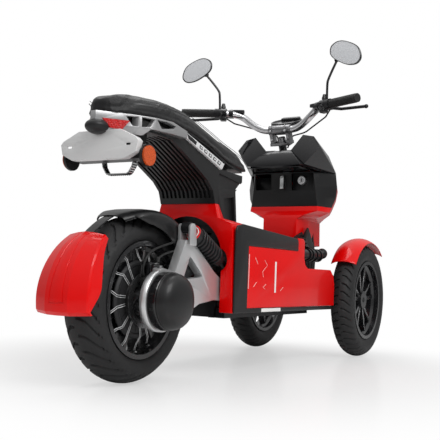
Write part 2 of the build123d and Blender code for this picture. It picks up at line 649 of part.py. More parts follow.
dash = hull(dash_low + dash_high)
dash_core = hull([(x * 0.97 - 6, y * 0.93, z - 8) for x, y, z in dash_low + dash_high])
left_wing = wing([(-335, 55, 823), (-335, 105, 882), (-330, 150, 874), (-340, 182, 830), (-360, 125, 760),
                  (-240, 180, 806),
                  (-190, 194, 742), (-250, 120, 838), (-200, 100, 800), (-120, 150, 760), (-300, 60, 815)])
dash = dash - dash_core + left_wing + mirror_left(left_wing)
column_cut = rod(tuple(clamp_point - column_dir * 190), tuple(clamp_point + column_dir * 40), 50.0)
nodes["dash_cover"] = dash - column_cut - facets([(700.0, shield_sections[2][1]), shield_sections[3]])
lamp_glass = Pos(front_x + 58, 0, 690) * (Rot(0, 90, 0) * Cylinder(38, 16))
nodes["headlight"] = lamp_glass
nodes["front_fascia"] -= lamp_glass
nodes["key_lock"] = Pos(front_x - 262, -76, 709) * (Rot(0, 90, 0) * Cylinder(17, 12)) - nodes["glove_tray"]
shield_solid = facets(shield_sections)
nodes["bag_hook"] = block(front_x - 292, front_x - 270, -6, 6, 676, 724) - shield_solid

# ---- front suspension ----
arm = pipe([(linkage_x, 60, linkage_z), (front_x - 70, 60, linkage_z - 10), (front_x, 152, 233.5)], 13.0,
           50.0)
arm += disc_y(linkage_x, linkage_z, 24, 45.3, 74)
kp = radians(kingpin_rake)
kp_dir = Vector(-sin(kp), 0, cos(kp))
kp_point = Vector(front_x, kingpin_offset, front_tyre_radius)
ear_up = rod(tuple(kp_point + kp_dir * 50), tuple(kp_point + kp_dir * 60), 16)
ear_low = rod(tuple(kp_point - kp_dir * 60), tuple(kp_point - kp_dir * 50), 16)
web = Pos(front_x, 157, front_tyre_radius) * (Rot(0, -kingpin_rake, 0) * Box(20, 12, 120))
ear_bridge = Pos(0, 0, 55) * Box(20, 34, 10) + Pos(0, 0, -55) * Box(20, 34, 10)
ear_bridge = Pos(front_x, 170, front_tyre_radius) * (Rot(0, -kingpin_rake, 0) * ear_bridge)
kingpin = rod(tuple(kp_point - kp_dir * 60), tuple(kp_point + kp_dir * 60), 8.0)
arm += ear_up + ear_low + web + ear_bridge + kingpin
damper_y = 168.0
crank = block(linkage_x + 16, linkage_x + 34, 60, 76, linkage_z - 10, 415)
crank += block(linkage_x + 16, linkage_x + 34, 60, damper_y + 8, 396, 415)
crank -= rod((linkage_x - 190, damper_y, 404), (linkage_x + 60, damper_y, 404), 10)
crank -= Pos(linkage_x + 46, damper_y, 414) * Sphere(21)
arm += crank
nodes["front_linkage"] = pair(arm)
nodes["linkage_covers"] = pair(linkage_cover - nodes["main_frame"])
damper = rod((linkage_x - 190, damper_y, 404), (linkage_x + 46, damper_y, 404), 10)
damper += rod((linkage_x - 190, damper_y, 404), (linkage_x - 130, damper_y, 404), 20)
for i in range(6):
    x = linkage_x - 112 + 20 * i
    damper += rod((x, damper_y, 404), (x + 11, damper_y, 404), 25 if i % 2 else 22)
damper += rod((linkage_x - 120, damper_y, 404), (linkage_x, damper_y, 404), 17)
damper += Pos(linkage_x + 46, damper_y, 414) * Sphere(21)
nodes["front_shocks"] = pair(damper)

# ---- knuckles, front fenders and wheels ----
knuckle = rod(tuple(kp_point - kp_dir * 44), tuple(kp_point + kp_dir * 44), 13.0)
knuckle += disc_y(front_x, front_tyre_radius, 10.0, kingpin_offset + 5, half_track + 26)
knuckle += disc_y(front_x, front_tyre_radius, 26.0, kingpin_offset + 6, half_track - 26)
guard_half = 54.0
stay_outer = half_track - guard_half - 0.3
stay_inner = stay_outer - 4.2
foot_inner = min(stay_inner, kingpin_offset - 11.5)
foot_outer = max(stay_outer, kingpin_offset - 3)
knuckle += block(front_x + 5, front_x + 54, foot_inner, foot_outer, 220, 246)
knuckle += block(front_x + 34, front_x + 54, stay_inner, stay_outer, 220, front_tyre_radius + 243)
knuckle -= rod(tuple(kp_point - kp_dir * 70), tuple(kp_point + kp_dir * 70), 8.05)
guard_edge = front_tyre_radius + 4
guard_crown = front_tyre_radius + 24
guard_outer = ThreePointArc((0, -guard_half, guard_edge), (0, 0, guard_crown), (0, guard_half, guard_edge))
guard_wall = guard_half - 4
guard_inner = ThreePointArc((0, guard_wall, guard_edge - 1), (0, 0, guard_crown - 4),
                            (0, -guard_wall, guard_edge - 1))
guard_face = make_face([guard_outer, Line(guard_outer @ 1, guard_inner @ 0), guard_inner,
                        Line(guard_inner @ 1, guard_outer @ 0)])
guard_start = 52.0
guard_end = 143.0
guard_arc = revolve(guard_face, axis=Axis.Y, revolution_arc=guard_end - guard_start)
guard = Pos(front_x, half_track, front_tyre_radius) * (Rot(0, 90 - guard_end, 0) * guard_arc)
rim = front_wheel() - disc_y(0, 0, 10.05, -60, 60)
for side, word in ((1, "left"), (-1, "right")):
    wheel_centre = Pos(front_x, side * half_track, front_tyre_radius)
    nodes[f"front_tyre_{word}"] = wheel_centre * tyre(front_tyre_radius, front_tyre_width, front_bead_radius,
                                                      front_rim_half, rim_flange)
    nodes[f"front_rim_{word}"] = wheel_centre * (rim if side > 0 else mirror_left(rim))
    nodes[f"knuckle_{word}"] = knuckle if side > 0 else mirror_left(knuckle)
    nodes[f"front_fender_{word}"] = guard if side > 0 else mirror_left(guard)

# ---- steering and handlebar ----
stem = rod(tuple(head_low + column_dir * 20), tuple(clamp_point - column_dir * 30), 16.0)
stem_plate = Pos(*(clamp_point - column_dir * 55)) * (Rot(0, -column_rake, 0) * Box(46, 86, 12))
riser_pair = Pos(0, 36, 0) * Box(34, 14, 58) + Pos(0, -36, 0) * Box(34, 14, 58)
riser_pair = Pos(*(clamp_point - column_dir * 25)) * (Rot(0, -column_rake, 0) * riser_pair)
clamp_bar = disc_y(clamp_point.X, clamp_point.Z, 20, -46, 46)
bar_points = [(clamp_point.X, 0, 909), (clamp_point.X, 60, 909), (front_x - 342, 118, 930),
              (front_x - 345, 160, 973),
              (front_x - 402, 205, 975), (front_x - 475, handlebar_half, 975)]
half_bar = pipe(bar_points, 11.0, 22.0)
bar = half_bar + mirror_left(half_bar)
nodes["handlebar"] = bar
steering = stem + stem_plate + riser_pair + clamp_bar
nodes["steering_stem"] = steering - bar
inner = Vector(*bar_points[4])
outer = Vector(*bar_points[5])
along_grip = (outer - inner).normalized()
grip_low = inner + along_grip * 52
grip_end = outer + along_grip * 6
left_grip = rod(tuple(grip_low), tuple(grip_end), 16.5)
nodes["grips"] = pair(left_grip) - bar
pod = rod(tuple(grip_low - along_grip * 36), tuple(grip_low), 20.0)
perch = rod(tuple(grip_low - along_grip * 20), tuple(grip_low - along_grip * 20 + Vector(45, 4, -4)), 8.0)
lever = pipe([tuple(grip_low - along_grip * 20 + Vector(45, 4, -4)), tuple(grip_low + Vector(62, 20, -8)),
              tuple(outer + Vector(88, 8, -12))], 6.0, 12.0)
ball = Pos(*(outer + Vector(88, 8, -12))) * Sphere(8)
controls = pod + perch + lever + ball
nodes["hand_controls"] = pair(controls) - bar
display_plane = clamp_point + Vector(62, 0, 40)
display = Pos(*display_plane) * (Rot(0, -20, 0) * Cylinder(66, 28))
display += rod(tuple(clamp_point + Vector(18, 0, 8)), tuple(display_plane + Vector(-10, 0, -8)), 9)
nodes["display"] = display - clamp_bar - bar
lead_point = grip_low - along_grip * 20 + Vector(38, 2, -6)
cable_run = [tuple(lead_point), tuple(lead_point + Vector(34, -34, -24)), (clamp_point.X + 92, 70, 912),
             (clamp_point.X + 48, 34, 892), tuple(clamp_point - column_dir * 78 + Vector(8, 17, 3))]
cable = pipe(cable_run, 3.0, 18.0)
nodes["cables"] = pair(cable) - nodes["hand_controls"] - steering - bar - nodes["display"]
mirror_base = grip_low - along_grip * 20
mirror_centre = mirror_base + Vector(-52, 85, 177)
stalk_end = mirror_centre + Vector(12, -29, -14)
stalk_points = [mirror_base + Vector(0, 0, 20.2), mirror_base + Vector(-4, 0, 88), stalk_end]
stalk = pipe([tuple(point) for point in stalk_points], 5.0, 15.0)
mirror_line = [(-72, -14), (-58, 26), (18, 44), (64, 34), (76, 4), (44, -38), (-38, -46)]


def mirror_plate(size, thickness):
    """The left mirror's outline at a scale, grown forwards from the glass."""
    flat = [(-u * size, v * size) for u, v in mirror_line]
    plate = extrude(make_face(Polyline(*flat, close=True)), amount=thickness)
    plate = fillet(plate.edges().filter_by(Axis.Z), 17.0 * size)
    facing = Plane(origin=(0, 0, 0), x_dir=(0, -1, 0), z_dir=(1, 0, 0)).location * (Rot(0, 0, -18) * plate)
    return Pos(*mirror_centre) * (Rot(0, 0, 8) * facing)


shell = mirror_plate(1.0, 16.0)
shell = fillet(shell.faces().sort_by(Axis.X)[-1].edges(), 7.0)
glass_cut = mirror_plate(0.93, 3.0)
nodes["mirrors"] = pair(stalk + shell - glass_cut)
nodes["mirror_glass"] = pair(glass_cut)

# ---- seat, hinged above the nose box ----
hinge_x = rear_x + 482
hinge_z = 658.0
seat_stations = [(-188, 14, 749, 762, 767), (-170, 31, 748, 775, 783), (-140, 55, 748, 788, 799),
                 (-100, 84, 748, 797, 813), (-50, 108, 748, 802, 821), (20, 122, 747, 801, 822),
                 (120, 125, 731, 797, 817), (220, 124, 713, 783, 803), (320, 118, 684, 762, 782),
                 (420, 102, 676, 743, 762), (520, 76, 678, 727, 744), (602, 46, 684, 708, 716)]
cushion_faces = []
pan_faces = []
for x, half, low, shoulder, crown in seat_stations:
    at_x = rear_x + x
    mid = low + 0.5 * (shoulder - low)
    over = Spline((at_x, half, low), (at_x, half * 0.97, mid), (at_x, half * 0.66, shoulder),
                  (at_x, 0, crown),
                  (at_x, -half * 0.66, shoulder), (at_x, -half * 0.97, mid), (at_x, -half, low))
    cushion_faces.append(make_face([over, Line((at_x, -half, low), (at_x, half, low))]))
    inner_half = half - 9
    drop = 3 if x < 100 else 9
    pan_faces.append(make_face(Polyline((at_x, inner_half, low - drop), (at_x, inner_half, low + 3),
                                        (at_x, -inner_half, low + 3),
                                        (at_x, -inner_half, low - drop), close=True)))
cushion = loft(cushion_faces)
nodes["seat_cushion"] = cushion
pan = loft(pan_faces[2:], ruled=True) - cushion
pan += disc_y(hinge_x, hinge_z, 6, -20, 20) + block(hinge_x - 5, hinge_x + 5, -20, 20, hinge_z, 675)
pan -= disc_y(hinge_x, hinge_z, 3.05, -25, 25)
nodes["seat_pan"] = pan.solids().sort_by(SortBy.VOLUME)[-1]
hinge_lug = block(hinge_x - 8, hinge_x + 4, 21, 29, 640, hinge_z + 5)
nodes["seat_post_front"] -= block(hinge_x - 14, hinge_x + 30, -30, 30, 643, 680)
nodes["seat_post_front"] += hinge_lug + mirror_left(hinge_lug) + disc_y(hinge_x, hinge_z, 3, -26, 26)

for name, solid in nodes.items():
    export_step(solid, f"parts/{name}.step")
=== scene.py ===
"""The looks of a leaning three-wheel electric scooter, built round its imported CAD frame."""
import json
import math

import bmesh
import bpy
from mathutils import Matrix, Vector


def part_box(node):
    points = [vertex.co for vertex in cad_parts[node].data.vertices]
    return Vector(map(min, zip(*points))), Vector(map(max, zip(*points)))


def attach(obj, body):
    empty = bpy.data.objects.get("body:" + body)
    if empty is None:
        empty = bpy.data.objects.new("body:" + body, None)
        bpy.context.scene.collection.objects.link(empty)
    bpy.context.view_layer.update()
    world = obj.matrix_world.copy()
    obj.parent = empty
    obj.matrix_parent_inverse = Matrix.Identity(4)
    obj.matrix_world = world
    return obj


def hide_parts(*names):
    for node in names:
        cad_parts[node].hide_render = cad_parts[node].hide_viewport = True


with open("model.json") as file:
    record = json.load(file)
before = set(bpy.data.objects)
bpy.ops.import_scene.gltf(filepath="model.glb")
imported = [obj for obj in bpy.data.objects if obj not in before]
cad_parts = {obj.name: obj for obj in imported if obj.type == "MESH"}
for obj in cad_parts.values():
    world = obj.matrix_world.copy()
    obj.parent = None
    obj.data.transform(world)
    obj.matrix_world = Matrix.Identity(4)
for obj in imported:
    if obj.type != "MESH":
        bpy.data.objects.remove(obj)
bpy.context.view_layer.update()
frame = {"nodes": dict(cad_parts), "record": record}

body_of = {n: body for body, names in frame["record"]["behaviour"]["bodies"].items() for n in names}
slot_of = {part["node"]: part["material_slot"] for part in frame["record"]["subparts"]}


def centre_of(node):
    low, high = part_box(node)
    return (Vector(low) + Vector(high)) / 2


rear_axle = centre_of("rear_tyre")
rear_axle.y = 0.0
front_axle = centre_of("front_tyre_left")
front_axle.y = 0.0


def ahead(x, y, z):
    """A place from its distance ahead of the rear axle, its Y and its Z."""
    return Vector((rear_axle.x + x, y, z))


def on_wheel(radius, angle, y=0.0):
    """A place round the rear axle, the angle running from straight ahead upwards."""
    return rear_axle + Vector((radius * math.cos(angle), y, radius * math.sin(angle)))


def portions(count, start=0.0):
    """Equal steps of a full turn, in radians."""
    return [2 * math.pi * (k + start) / count for k in range(count)]


# ---- camera ----
camera_yaw = math.radians(29.81)
camera_pitch = math.radians(4.25)
camera_roll = math.radians(2.28)
camera_place = rear_axle + Vector((-1.704, -1.265, 0.079))
camera_lens = 60.15


def make_camera():
    front = Vector((math.cos(camera_yaw) * math.cos(camera_pitch),
                    math.sin(camera_yaw) * math.cos(camera_pitch),
                    math.sin(camera_pitch)))
    level = Vector((math.sin(camera_yaw), -math.cos(camera_yaw), 0.0))
    above = level.cross(front)
    right = level * math.cos(camera_roll) + above * math.sin(camera_roll)
    up = above * math.cos(camera_roll) - level * math.sin(camera_roll)
    data = bpy.data.cameras.new("camera")
    data.lens = camera_lens
    data.sensor_width = 36.0
    camera = bpy.data.objects.new("camera", data)
    turn = Matrix((right, up, -front)).transposed().to_4x4()
    turn.translation = camera_place
    camera.matrix_world = turn
    bpy.context.collection.objects.link(camera)
    bpy.context.scene.camera = camera


make_camera()


# ---- finishes ----
def add_node(tree, kind, **values):
    """A new node; each value goes to the setting or to the input of that name."""
    made = tree.nodes.new(kind)
    for key, value in values.items():
        if hasattr(made, key):
            setattr(made, key, value)
        else:
            made.inputs[key.replace("_", " ")].default_value = value
    return made


def wire(tree, *pairs):
    for source, target in pairs:
        tree.links.new(source, target)


class Finish:
    """A node material whose colour, roughness and bump come from procedural patterns."""

    def __init__(self, name, color, rough, metal=0.0, coat=0.0, coat_rough=0.05, specular=0.5):
        self.mat = bpy.data.materials.new(name)
        self.mat.use_nodes = True
        self.tree = self.mat.node_tree
        self.shader = self.tree.nodes["Principled BSDF"]
        self.color = (*color, 1.0)
        self.rough = rough
        self.set("Base Color", self.color)
        self.set("Roughness", rough)
        self.set("Metallic", metal)
        self.set("Coat Weight", coat)
        self.set("Coat Roughness", coat_rough)
        self.set("Specular IOR Level", specular)
        self.place = self.node("ShaderNodeTexCoord").outputs["Object"]
        self.height = None

    def node(self, kind, **values):
        return add_node(self.tree, kind, **values)

    def set(self, socket, value):
        self.shader.inputs[socket].default_value = value

    def link(self, source, target):
        self.tree.links.new(source, target)

    def noise(self, scale, detail=3.0, stretch=None):
        made = self.node("ShaderNodeTexNoise", Scale=scale, Detail=detail)
        source = self.place
        if stretch:
            mapping = self.node("ShaderNodeMapping", Scale=stretch)
            self.link(source, mapping.inputs["Vector"])
            source = mapping.outputs["Vector"]
        self.link(source, made.inputs["Vector"])
        return made.outputs["Fac"]

    def cells(self, scale):
        made = self.node("ShaderNodeTexVoronoi", Scale=scale)
        self.link(self.place, made.inputs["Vector"])
        return made.outputs["Distance"]

    def ramp(self, source, low, high, start=0.3, end=0.7):
        made = self.node("ShaderNodeMapRange", From_Min=start, From_Max=end, To_Min=low, To_Max=high)
        self.link(source, made.inputs["Value"])
        return made.outputs["Result"]

    def mix(self, factor, low, high):
        made = self.node("ShaderNodeMix", data_type="RGBA")
        inputs = [s for s in made.inputs if s.type == "RGBA"]
        for socket, value in zip(inputs, (low, high)):
            if hasattr(value, "is_linked"):
                self.link(value, socket)
            else:
                socket.default_value = (*value[:3], 1.0)
        factor_socket = [s for s in made.inputs if s.type == "VALUE"][0]
        self.link(factor, factor_socket)
        return [s for s in made.outputs if s.type == "RGBA"][0]

    def tint(self, factor, other):
        """Blends the base colour towards another along a 0 to 1 pattern."""
        base = self.shader.inputs["Base Color"]
        source = base.links[0].from_socket if base.is_linked else self.color
        self.link(self.mix(factor, source, other), base)
        return self

    def roughen(self, source, amount):
        self.link(self.ramp(source, max(self.rough - amount, 0.02), min(self.rough + amount, 1.0)),
                  self.shader.inputs["Roughness"])
        return self

    def bump(self, source, depth):
        """Adds relief of this depth, in metres."""
        made = self.node("ShaderNodeBump", Strength=1.0, Distance=depth)
        self.link(source, made.inputs["Height"])
        if self.height is not None:
            self.link(self.height, made.inputs["Normal"])
        self.height = made.outputs["Normal"]
        self.link(self.height, self.shader.inputs["Normal"])
        return self


def plastic(name, color, rough, grain_depth=0.00004, coat=0.0):
    made = Finish(name, color, rough, coat=coat, specular=0.28)
    cloud = made.noise(9.0)
    made.roughen(cloud, 0.06)
    made.tint(made.ramp(cloud, 0.0, 0.35), [c * 1.35 + 0.002 for c in color])
    made.bump(made.cells(900.0), grain_depth)
    return made.mat


def lacquer(name, color):
    made = Finish(name, color, 0.34, coat=0.3, coat_rough=0.05, specular=0.14)
    cloud = made.noise(5.0)
    made.tint(made.ramp(cloud, 0.0, 0.5), [c * 0.82 for c in color])
    made.bump(made.noise(320.0, 2.0), 0.000015)
    return made.mat


def casting(name, color, rough, metal=0.75):
    made = Finish(name, color, rough, metal=metal)
    made.roughen(made.noise(6.0, 1.0), 0.04)
    made.tint(made.ramp(made.noise(9.0, 1.0), 0.0, 0.22), [c * 0.8 for c in color])
    made.bump(made.noise(900.0, 2.0), 0.000012)
    return made.mat


def brushed(name, color, rough, stretch=(60.0, 600.0, 600.0)):
    made = Finish(name, color, rough, metal=1.0)
    lines = made.noise(2.0, 4.0, stretch)
    made.roughen(lines, 0.1)
    made.bump(lines, 0.00003)
    return made.mat


def rubber(name, color, rough=0.62):
    made = Finish(name, color, rough, specular=0.3)
    cloud = made.noise(18.0, 5.0)
    made.roughen(cloud, 0.1)
    made.tint(made.ramp(cloud, 0.0, 0.6), [c * 1.6 + 0.004 for c in color])
    made.bump(made.noise(900.0, 3.0), 0.00008)
    return made.mat


def leather(name, color):
    made = Finish(name, color, 0.5, specular=0.26)
    made.set("Sheen Weight", 0.03)
    pores = made.cells(420.0)
    cloud = made.noise(12.0, 4.0)
    made.roughen(cloud, 0.08)
    made.tint(made.ramp(cloud, 0.0, 0.6), [c * 1.5 + 0.004 for c in color])
    made.bump(pores, 0.00022)
    made.bump(made.noise(60.0, 4.0), 0.0003)
    return made.mat


def lens(name, color, cell):
    made = Finish(name, color, 0.16, coat=0.25, coat_rough=0.05, specular=0.3)
    grid = made.cells(cell)
    made.tint(made.ramp(grid, 0.0, 0.7, 0.1, 0.6), [c * 0.45 for c in color])
    made.bump(grid, 0.0008)
    return made.mat


def clear_lens(name):
    made = Finish(name, (0.75, 0.78, 0.8), 0.05, metal=0.6, coat=1.0)
    flutes = made.noise(1.0, 1.0, (4.0, 150.0, 4.0))
    made.bump(flutes, 0.0006)
    return made.mat


def mirror_face(name):
    made = Finish(name, (0.74, 0.75, 0.77), 0.08, metal=0.35)
    made.tint(made.ramp(made.noise(3.0, 0.0), 0.0, 0.4), (0.6, 0.62, 0.65))
    return made.mat


def wheel_lacquer(name, color):
    made = Finish(name, color, 0.28, specular=0.45, coat=0.3)
    cloud = made.noise(20.0)
    made.roughen(cloud, 0.06)
    made.tint(made.ramp(cloud, 0.0, 0.4), [c * 1.6 + 0.003 for c in color])
    made.bump(made.noise(500.0), 0.00003)
    return made.mat


finishes = {
    "body_red": lacquer("red_lacquer", (0.76, 0.0, 0.0)),
    "trim_black": plastic("black_panel_plastic", (0.011, 0.011, 0.0115), 0.36),
    "dash_grey": plastic("dash_plastic", (0.014, 0.014, 0.0145), 0.34),
    "silver_cast": casting("silver_casting", (0.62, 0.625, 0.63), 0.36, 0.7),
    "frame_black": plastic("black_frame_paint", (0.008, 0.008, 0.009), 0.36, 0.00006),
    "bar_alloy": brushed("handlebar_alloy", (0.5, 0.5, 0.51), 0.22),
    "steel": brushed("fitting_steel", (0.55, 0.55, 0.56), 0.3),
    "wheel_black": wheel_lacquer("wheel_lacquer", (0.007, 0.007, 0.008)),
    "tyre_rubber": rubber("tyre_rubber", (0.014, 0.014, 0.0145)),
    "grip_rubber": rubber("grip_rubber", (0.01, 0.01, 0.01), 0.55),
    "seat_cover": leather("saddle_leather", (0.0065, 0.0065, 0.007)),
    "red_lens": lens("tail_lens_red", (0.62, 0.0, 0.0), 260.0),
    "amber_lens": lens("reflector_amber", (0.75, 0.1, 0.01), 330.0),
    "clear_lens": clear_lens("headlight_lens"),
    "mirror_face": mirror_face("mirror_face"),
    "cable_black": rubber("cable_sleeve", (0.01, 0.01, 0.01), 0.45),
    "frame_silver": casting("tail_frame_casting", (0.42, 0.42, 0.425), 0.36, 0.75),
    "plate_silver": casting("plate_casting", (0.74, 0.74, 0.74), 0.4, 0.35),
    "satin_black": plastic("satin_black_cover", (0.0085, 0.0085, 0.009), 0.4, 0.00001, 0.12),
    "strip_silver": plastic("strip_silver_paint", (0.62, 0.625, 0.63), 0.3, 0.00001, 0.3),
    "clamp_grey": casting("clamp_casting", (0.2, 0.2, 0.205), 0.3, 0.9),
    # painted highlight colour: pale red-white for the highlight lines painted on the red side panel
    "painted_highlight_line": plastic("painted_highlight_line", (0.85, 0.5, 0.47), 0.4, 0.00001),
    "stitch_thread": rubber("stitch_thread", (0.035, 0.035, 0.036), 0.6),
    "polished": casting("polished_silver", (0.66, 0.665, 0.67), 0.16, 1.0),
    "dish_grey": plastic("wheel_dish_paint", (0.02, 0.02, 0.021), 0.5, 0.0001),
    "spring_paint": plastic("spring_paint", (0.014, 0.014, 0.015), 0.3, 0.00003),
    "bright_edge": brushed("machined_alloy", (0.75, 0.75, 0.76), 0.2, (300.0, 300.0, 300.0)),
    "gloss_black": plastic("gloss_black_plastic", (0.008, 0.008, 0.009), 0.18, 0.00001, 0.5),
    "deck_rubber": rubber("deck_mat_rubber", (0.016, 0.016, 0.016), 0.7),
    "white_marker": plastic("white_marker", (0.78, 0.78, 0.76), 0.35),
    "red_ring": plastic("red_ring_plastic", (0.6, 0.01, 0.01), 0.3),
    "plain_screw": casting("screw_steel", (0.42, 0.42, 0.43), 0.3, 1.0),
}

for name, node in frame["nodes"].items():
    node.data.materials.clear()
    node.data.materials.append(finishes[slot_of[name]])


# ---- mesh helpers ----
def put(name, parts, body, finish, replaces=(), smooth_angle=35.0):
    """Links a finished mesh, or a list of meshes as one, as a piece that rides on a CAD body."""
    mesh = joined(name, parts) if isinstance(parts, list) else parts
    piece = bpy.data.objects.new(name, mesh)
    bpy.context.collection.objects.link(piece)
    mesh.materials.clear()
    mesh.materials.append(finishes[finish])
    for polygon in mesh.polygons:
        polygon.use_smooth = True
        polygon.material_index = 0
    mesh.set_sharp_from_angle(angle=math.radians(smooth_angle))
    if replaces:
        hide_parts(*replaces)
    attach(piece, body)
    return piece


def dress(node, name, parts, finish, smooth_angle=35.0, stands=True):
    """A piece on a CAD node's body, in the given finish, which stands for the node unless it only adds to it.
    """
    return put(name, parts, body_of[node], finish, [node] if stands else (), smooth_angle)


def mesh_of(name, points, faces):
    mesh = bpy.data.meshes.new(name)
    mesh.from_pydata([tuple(p) for p in points], [], faces)
    mesh.update()
    return mesh


def outward(mesh):
    shape = bmesh.new()
    shape.from_mesh(mesh)
    bmesh.ops.remove_doubles(shape, verts=shape.verts, dist=1e-6)
    bmesh.ops.recalc_face_normals(shape, faces=shape.faces)
    shape.to_mesh(mesh)
    shape.free()
    return mesh


def joined(name, meshes):
    """One mesh from several."""
    shape = bmesh.new()
    for mesh in meshes:
        shape.from_mesh(mesh)
    whole = bpy.data.meshes.new(name)
    shape.to_mesh(whole)
    shape.free()
    return whole


def plain_mesh(piece):
    """The evaluated mesh of an object, with the object taken away."""
    graph = bpy.context.evaluated_depsgraph_get()
    mesh = bpy.data.meshes.new_from_object(piece.evaluated_get(graph))
    old = piece.data
    bpy.data.objects.remove(piece)
    if hasattr(old, "splines"):
        bpy.data.curves.remove(old)
    return mesh


def eased(node, width, angle=28.0, segments=2, finish=None):
    """A CAD node's shape with its hard edges rounded over, standing for that node."""
    source = frame["nodes"][node]
    shape = bmesh.new()
    shape.from_mesh(source.data)
    bmesh.ops.remove_doubles(shape, verts=shape.verts, dist=1e-5)
    bmesh.ops.dissolve_limit(shape, angle_limit=math.radians(1.0), verts=shape.verts, edges=shape.edges)
    mesh = bpy.data.meshes.new(node + "_eased")
    shape.to_mesh(mesh)
    shape.free()
    temporary = bpy.data.objects.new("easing", mesh)
    bpy.context.collection.objects.link(temporary)
    bevel = temporary.modifiers.new("edge", "BEVEL")
    bevel.width = width
    bevel.segments = segments
    bevel.limit_method = "ANGLE"
    bevel.angle_limit = math.radians(angle)
    bevel.use_clamp_overlap = True
    bpy.context.view_layer.update()
    rounded = plain_mesh(temporary)
    return dress(node, node + "_shell", rounded, finish or slot_of[node], 40.0)


def tube(name, points, radius, sides=3, smooth=True, closed=False):
    """A round bar mesh along a smooth route."""
    curve = bpy.data.curves.new(name, "CURVE")
    curve.dimensions = "3D"
    curve.bevel_depth = radius
    curve.bevel_resolution = sides
    curve.resolution_u = 8
    curve.use_fill_caps = True
    spline = curve.splines.new("NURBS" if smooth else "POLY")
    spline.points.add(len(points) - 1)
    for target, point in zip(spline.points, points):
        target.co = (*point, 1.0)
    if smooth:
        spline.order_u = 3
        spline.use_endpoint_u = not closed
    spline.use_cyclic_u = closed
    holder = bpy.data.objects.new(name, curve)
    bpy.context.collection.objects.link(holder)
    bpy.context.view_layer.update()
    return plain_mesh(holder)


def turned(name, profile, centre=Vector(), steps=64):
    """A surface of revolution about Y from (along, radius) points, closed when the profile ends on the axis."""
    points = [centre + Vector((radius * math.cos(angle), along, radius * math.sin(angle)))
              for angle in portions(steps) for along, radius in profile]
    return outward(mesh_of(name, points, strips(steps, len(profile), True, False)))


def strips(rows, count, rows_close, row_closes):
    """Four-sided faces between neighbouring rows of points, each row holding the same count."""
    faces = []
    for i in range(rows if rows_close else rows - 1):
        start, following = i * count, (i + 1) % rows * count
        for k in range(count if row_closes else count - 1):
            n = (k + 1) % count
            faces.append((start + k, start + n, following + n, following + k))
    return faces


def slab(name, corners, normal, thickness):
    """A flat plate from its outline and its thickness along the normal."""
    push = Vector(normal).normalized() * thickness
    count = len(corners)
    points = [Vector(c) for c in corners] + [Vector(c) + push for c in corners]
    faces = [tuple(range(count)), tuple(range(2 * count - 1, count - 1, -1))]
    faces += [(i, (i + 1) % count, (i + 1) % count + count, i + count) for i in range(count)]
    return outward(mesh_of(name, points, faces))


def between(values, place):
    """Catmull-Rom value of a list at a fractional index."""
    last = len(values) - 1
    i = min(int(place), last - 1)
    t = place - i
    before = values[max(i - 1, 0)]
    first, second = values[i], values[i + 1]
    after = values[min(i + 2, last)]
    return 0.5 * (2 * first + (second - before) * t + (2 * before - 5 * first + 4 * second - after) * t * t
                  + (3 * first - before - 3 * second + after) * t * t * t)


# ---- repeated features along a path ----
def repeat_tree(part):
    """Geometry nodes that set copies of a part along a curve."""
    tree = bpy.data.node_groups.new("repeat_along_path", "GeometryNodeTree")
    tree.is_modifier = True
    sockets = {name: tree.interface.new_socket(name, in_out="INPUT", socket_type="NodeSocket" + kind)
               for name, kind in (("Geometry", "Geometry"), ("Count", "Int"), ("Size", "Float"),
                                  ("Finish", "Material"))}
    tree.interface.new_socket("Geometry", in_out="OUTPUT", socket_type="NodeSocketGeometry")
    entry = add_node(tree, "NodeGroupInput").outputs
    resample = add_node(tree, "GeometryNodeResampleCurve")
    tangent = add_node(tree, "GeometryNodeInputTangent")
    align = add_node(tree, "FunctionNodeAlignRotationToVector", axis="Z")
    info = add_node(tree, "GeometryNodeObjectInfo", Object=part)
    spread = add_node(tree, "GeometryNodeInstanceOnPoints")
    realize = add_node(tree, "GeometryNodeRealizeInstances")
    paint = add_node(tree, "GeometryNodeSetMaterial")
    leave = add_node(tree, "NodeGroupOutput")
    wire(tree, (entry["Geometry"], resample.inputs["Curve"]), (entry["Count"], resample.inputs["Count"]),
         (resample.outputs["Curve"], spread.inputs["Points"]),
         (info.outputs["Geometry"], spread.inputs["Instance"]),
         (tangent.outputs["Tangent"], align.inputs["Vector"]),
         (align.outputs["Rotation"], spread.inputs["Rotation"]),
         (entry["Size"], spread.inputs["Scale"]), (spread.outputs["Instances"], realize.inputs["Geometry"]),
         (realize.outputs["Geometry"], paint.inputs["Geometry"]), (entry["Finish"], paint.inputs["Material"]),
         (paint.outputs["Geometry"], leave.inputs["Geometry"]))
    return tree, sockets


def repeat(name, route, part_mesh, count, finish):
    """Copies of a part mesh, its Z along the path, as one plain mesh."""
    part = bpy.data.objects.new("part", part_mesh)
    bpy.context.collection.objects.link(part)
    curve = bpy.data.curves.new(name, "CURVE")
    curve.dimensions = "3D"
    spline = curve.splines.new("POLY")
    spline.points.add(len(route) - 1)
    for target, point in zip(spline.points, route):
        target.co = (*point, 1.0)
    holder = bpy.data.objects.new(name, curve)
    bpy.context.collection.objects.link(holder)
    tree, sockets = repeat_tree(part)
    modifier = holder.modifiers.new("repeat", "NODES")
    modifier.node_group = tree
    for socket, value in (("Count", count), ("Size", 1.0), ("Finish", finishes[finish])):
        modifier[sockets[socket].identifier] = value
    bpy.context.view_layer.update()
    mesh = plain_mesh(holder)
    bpy.data.objects.remove(part)
    bpy.data.node_groups.remove(tree)
    return mesh


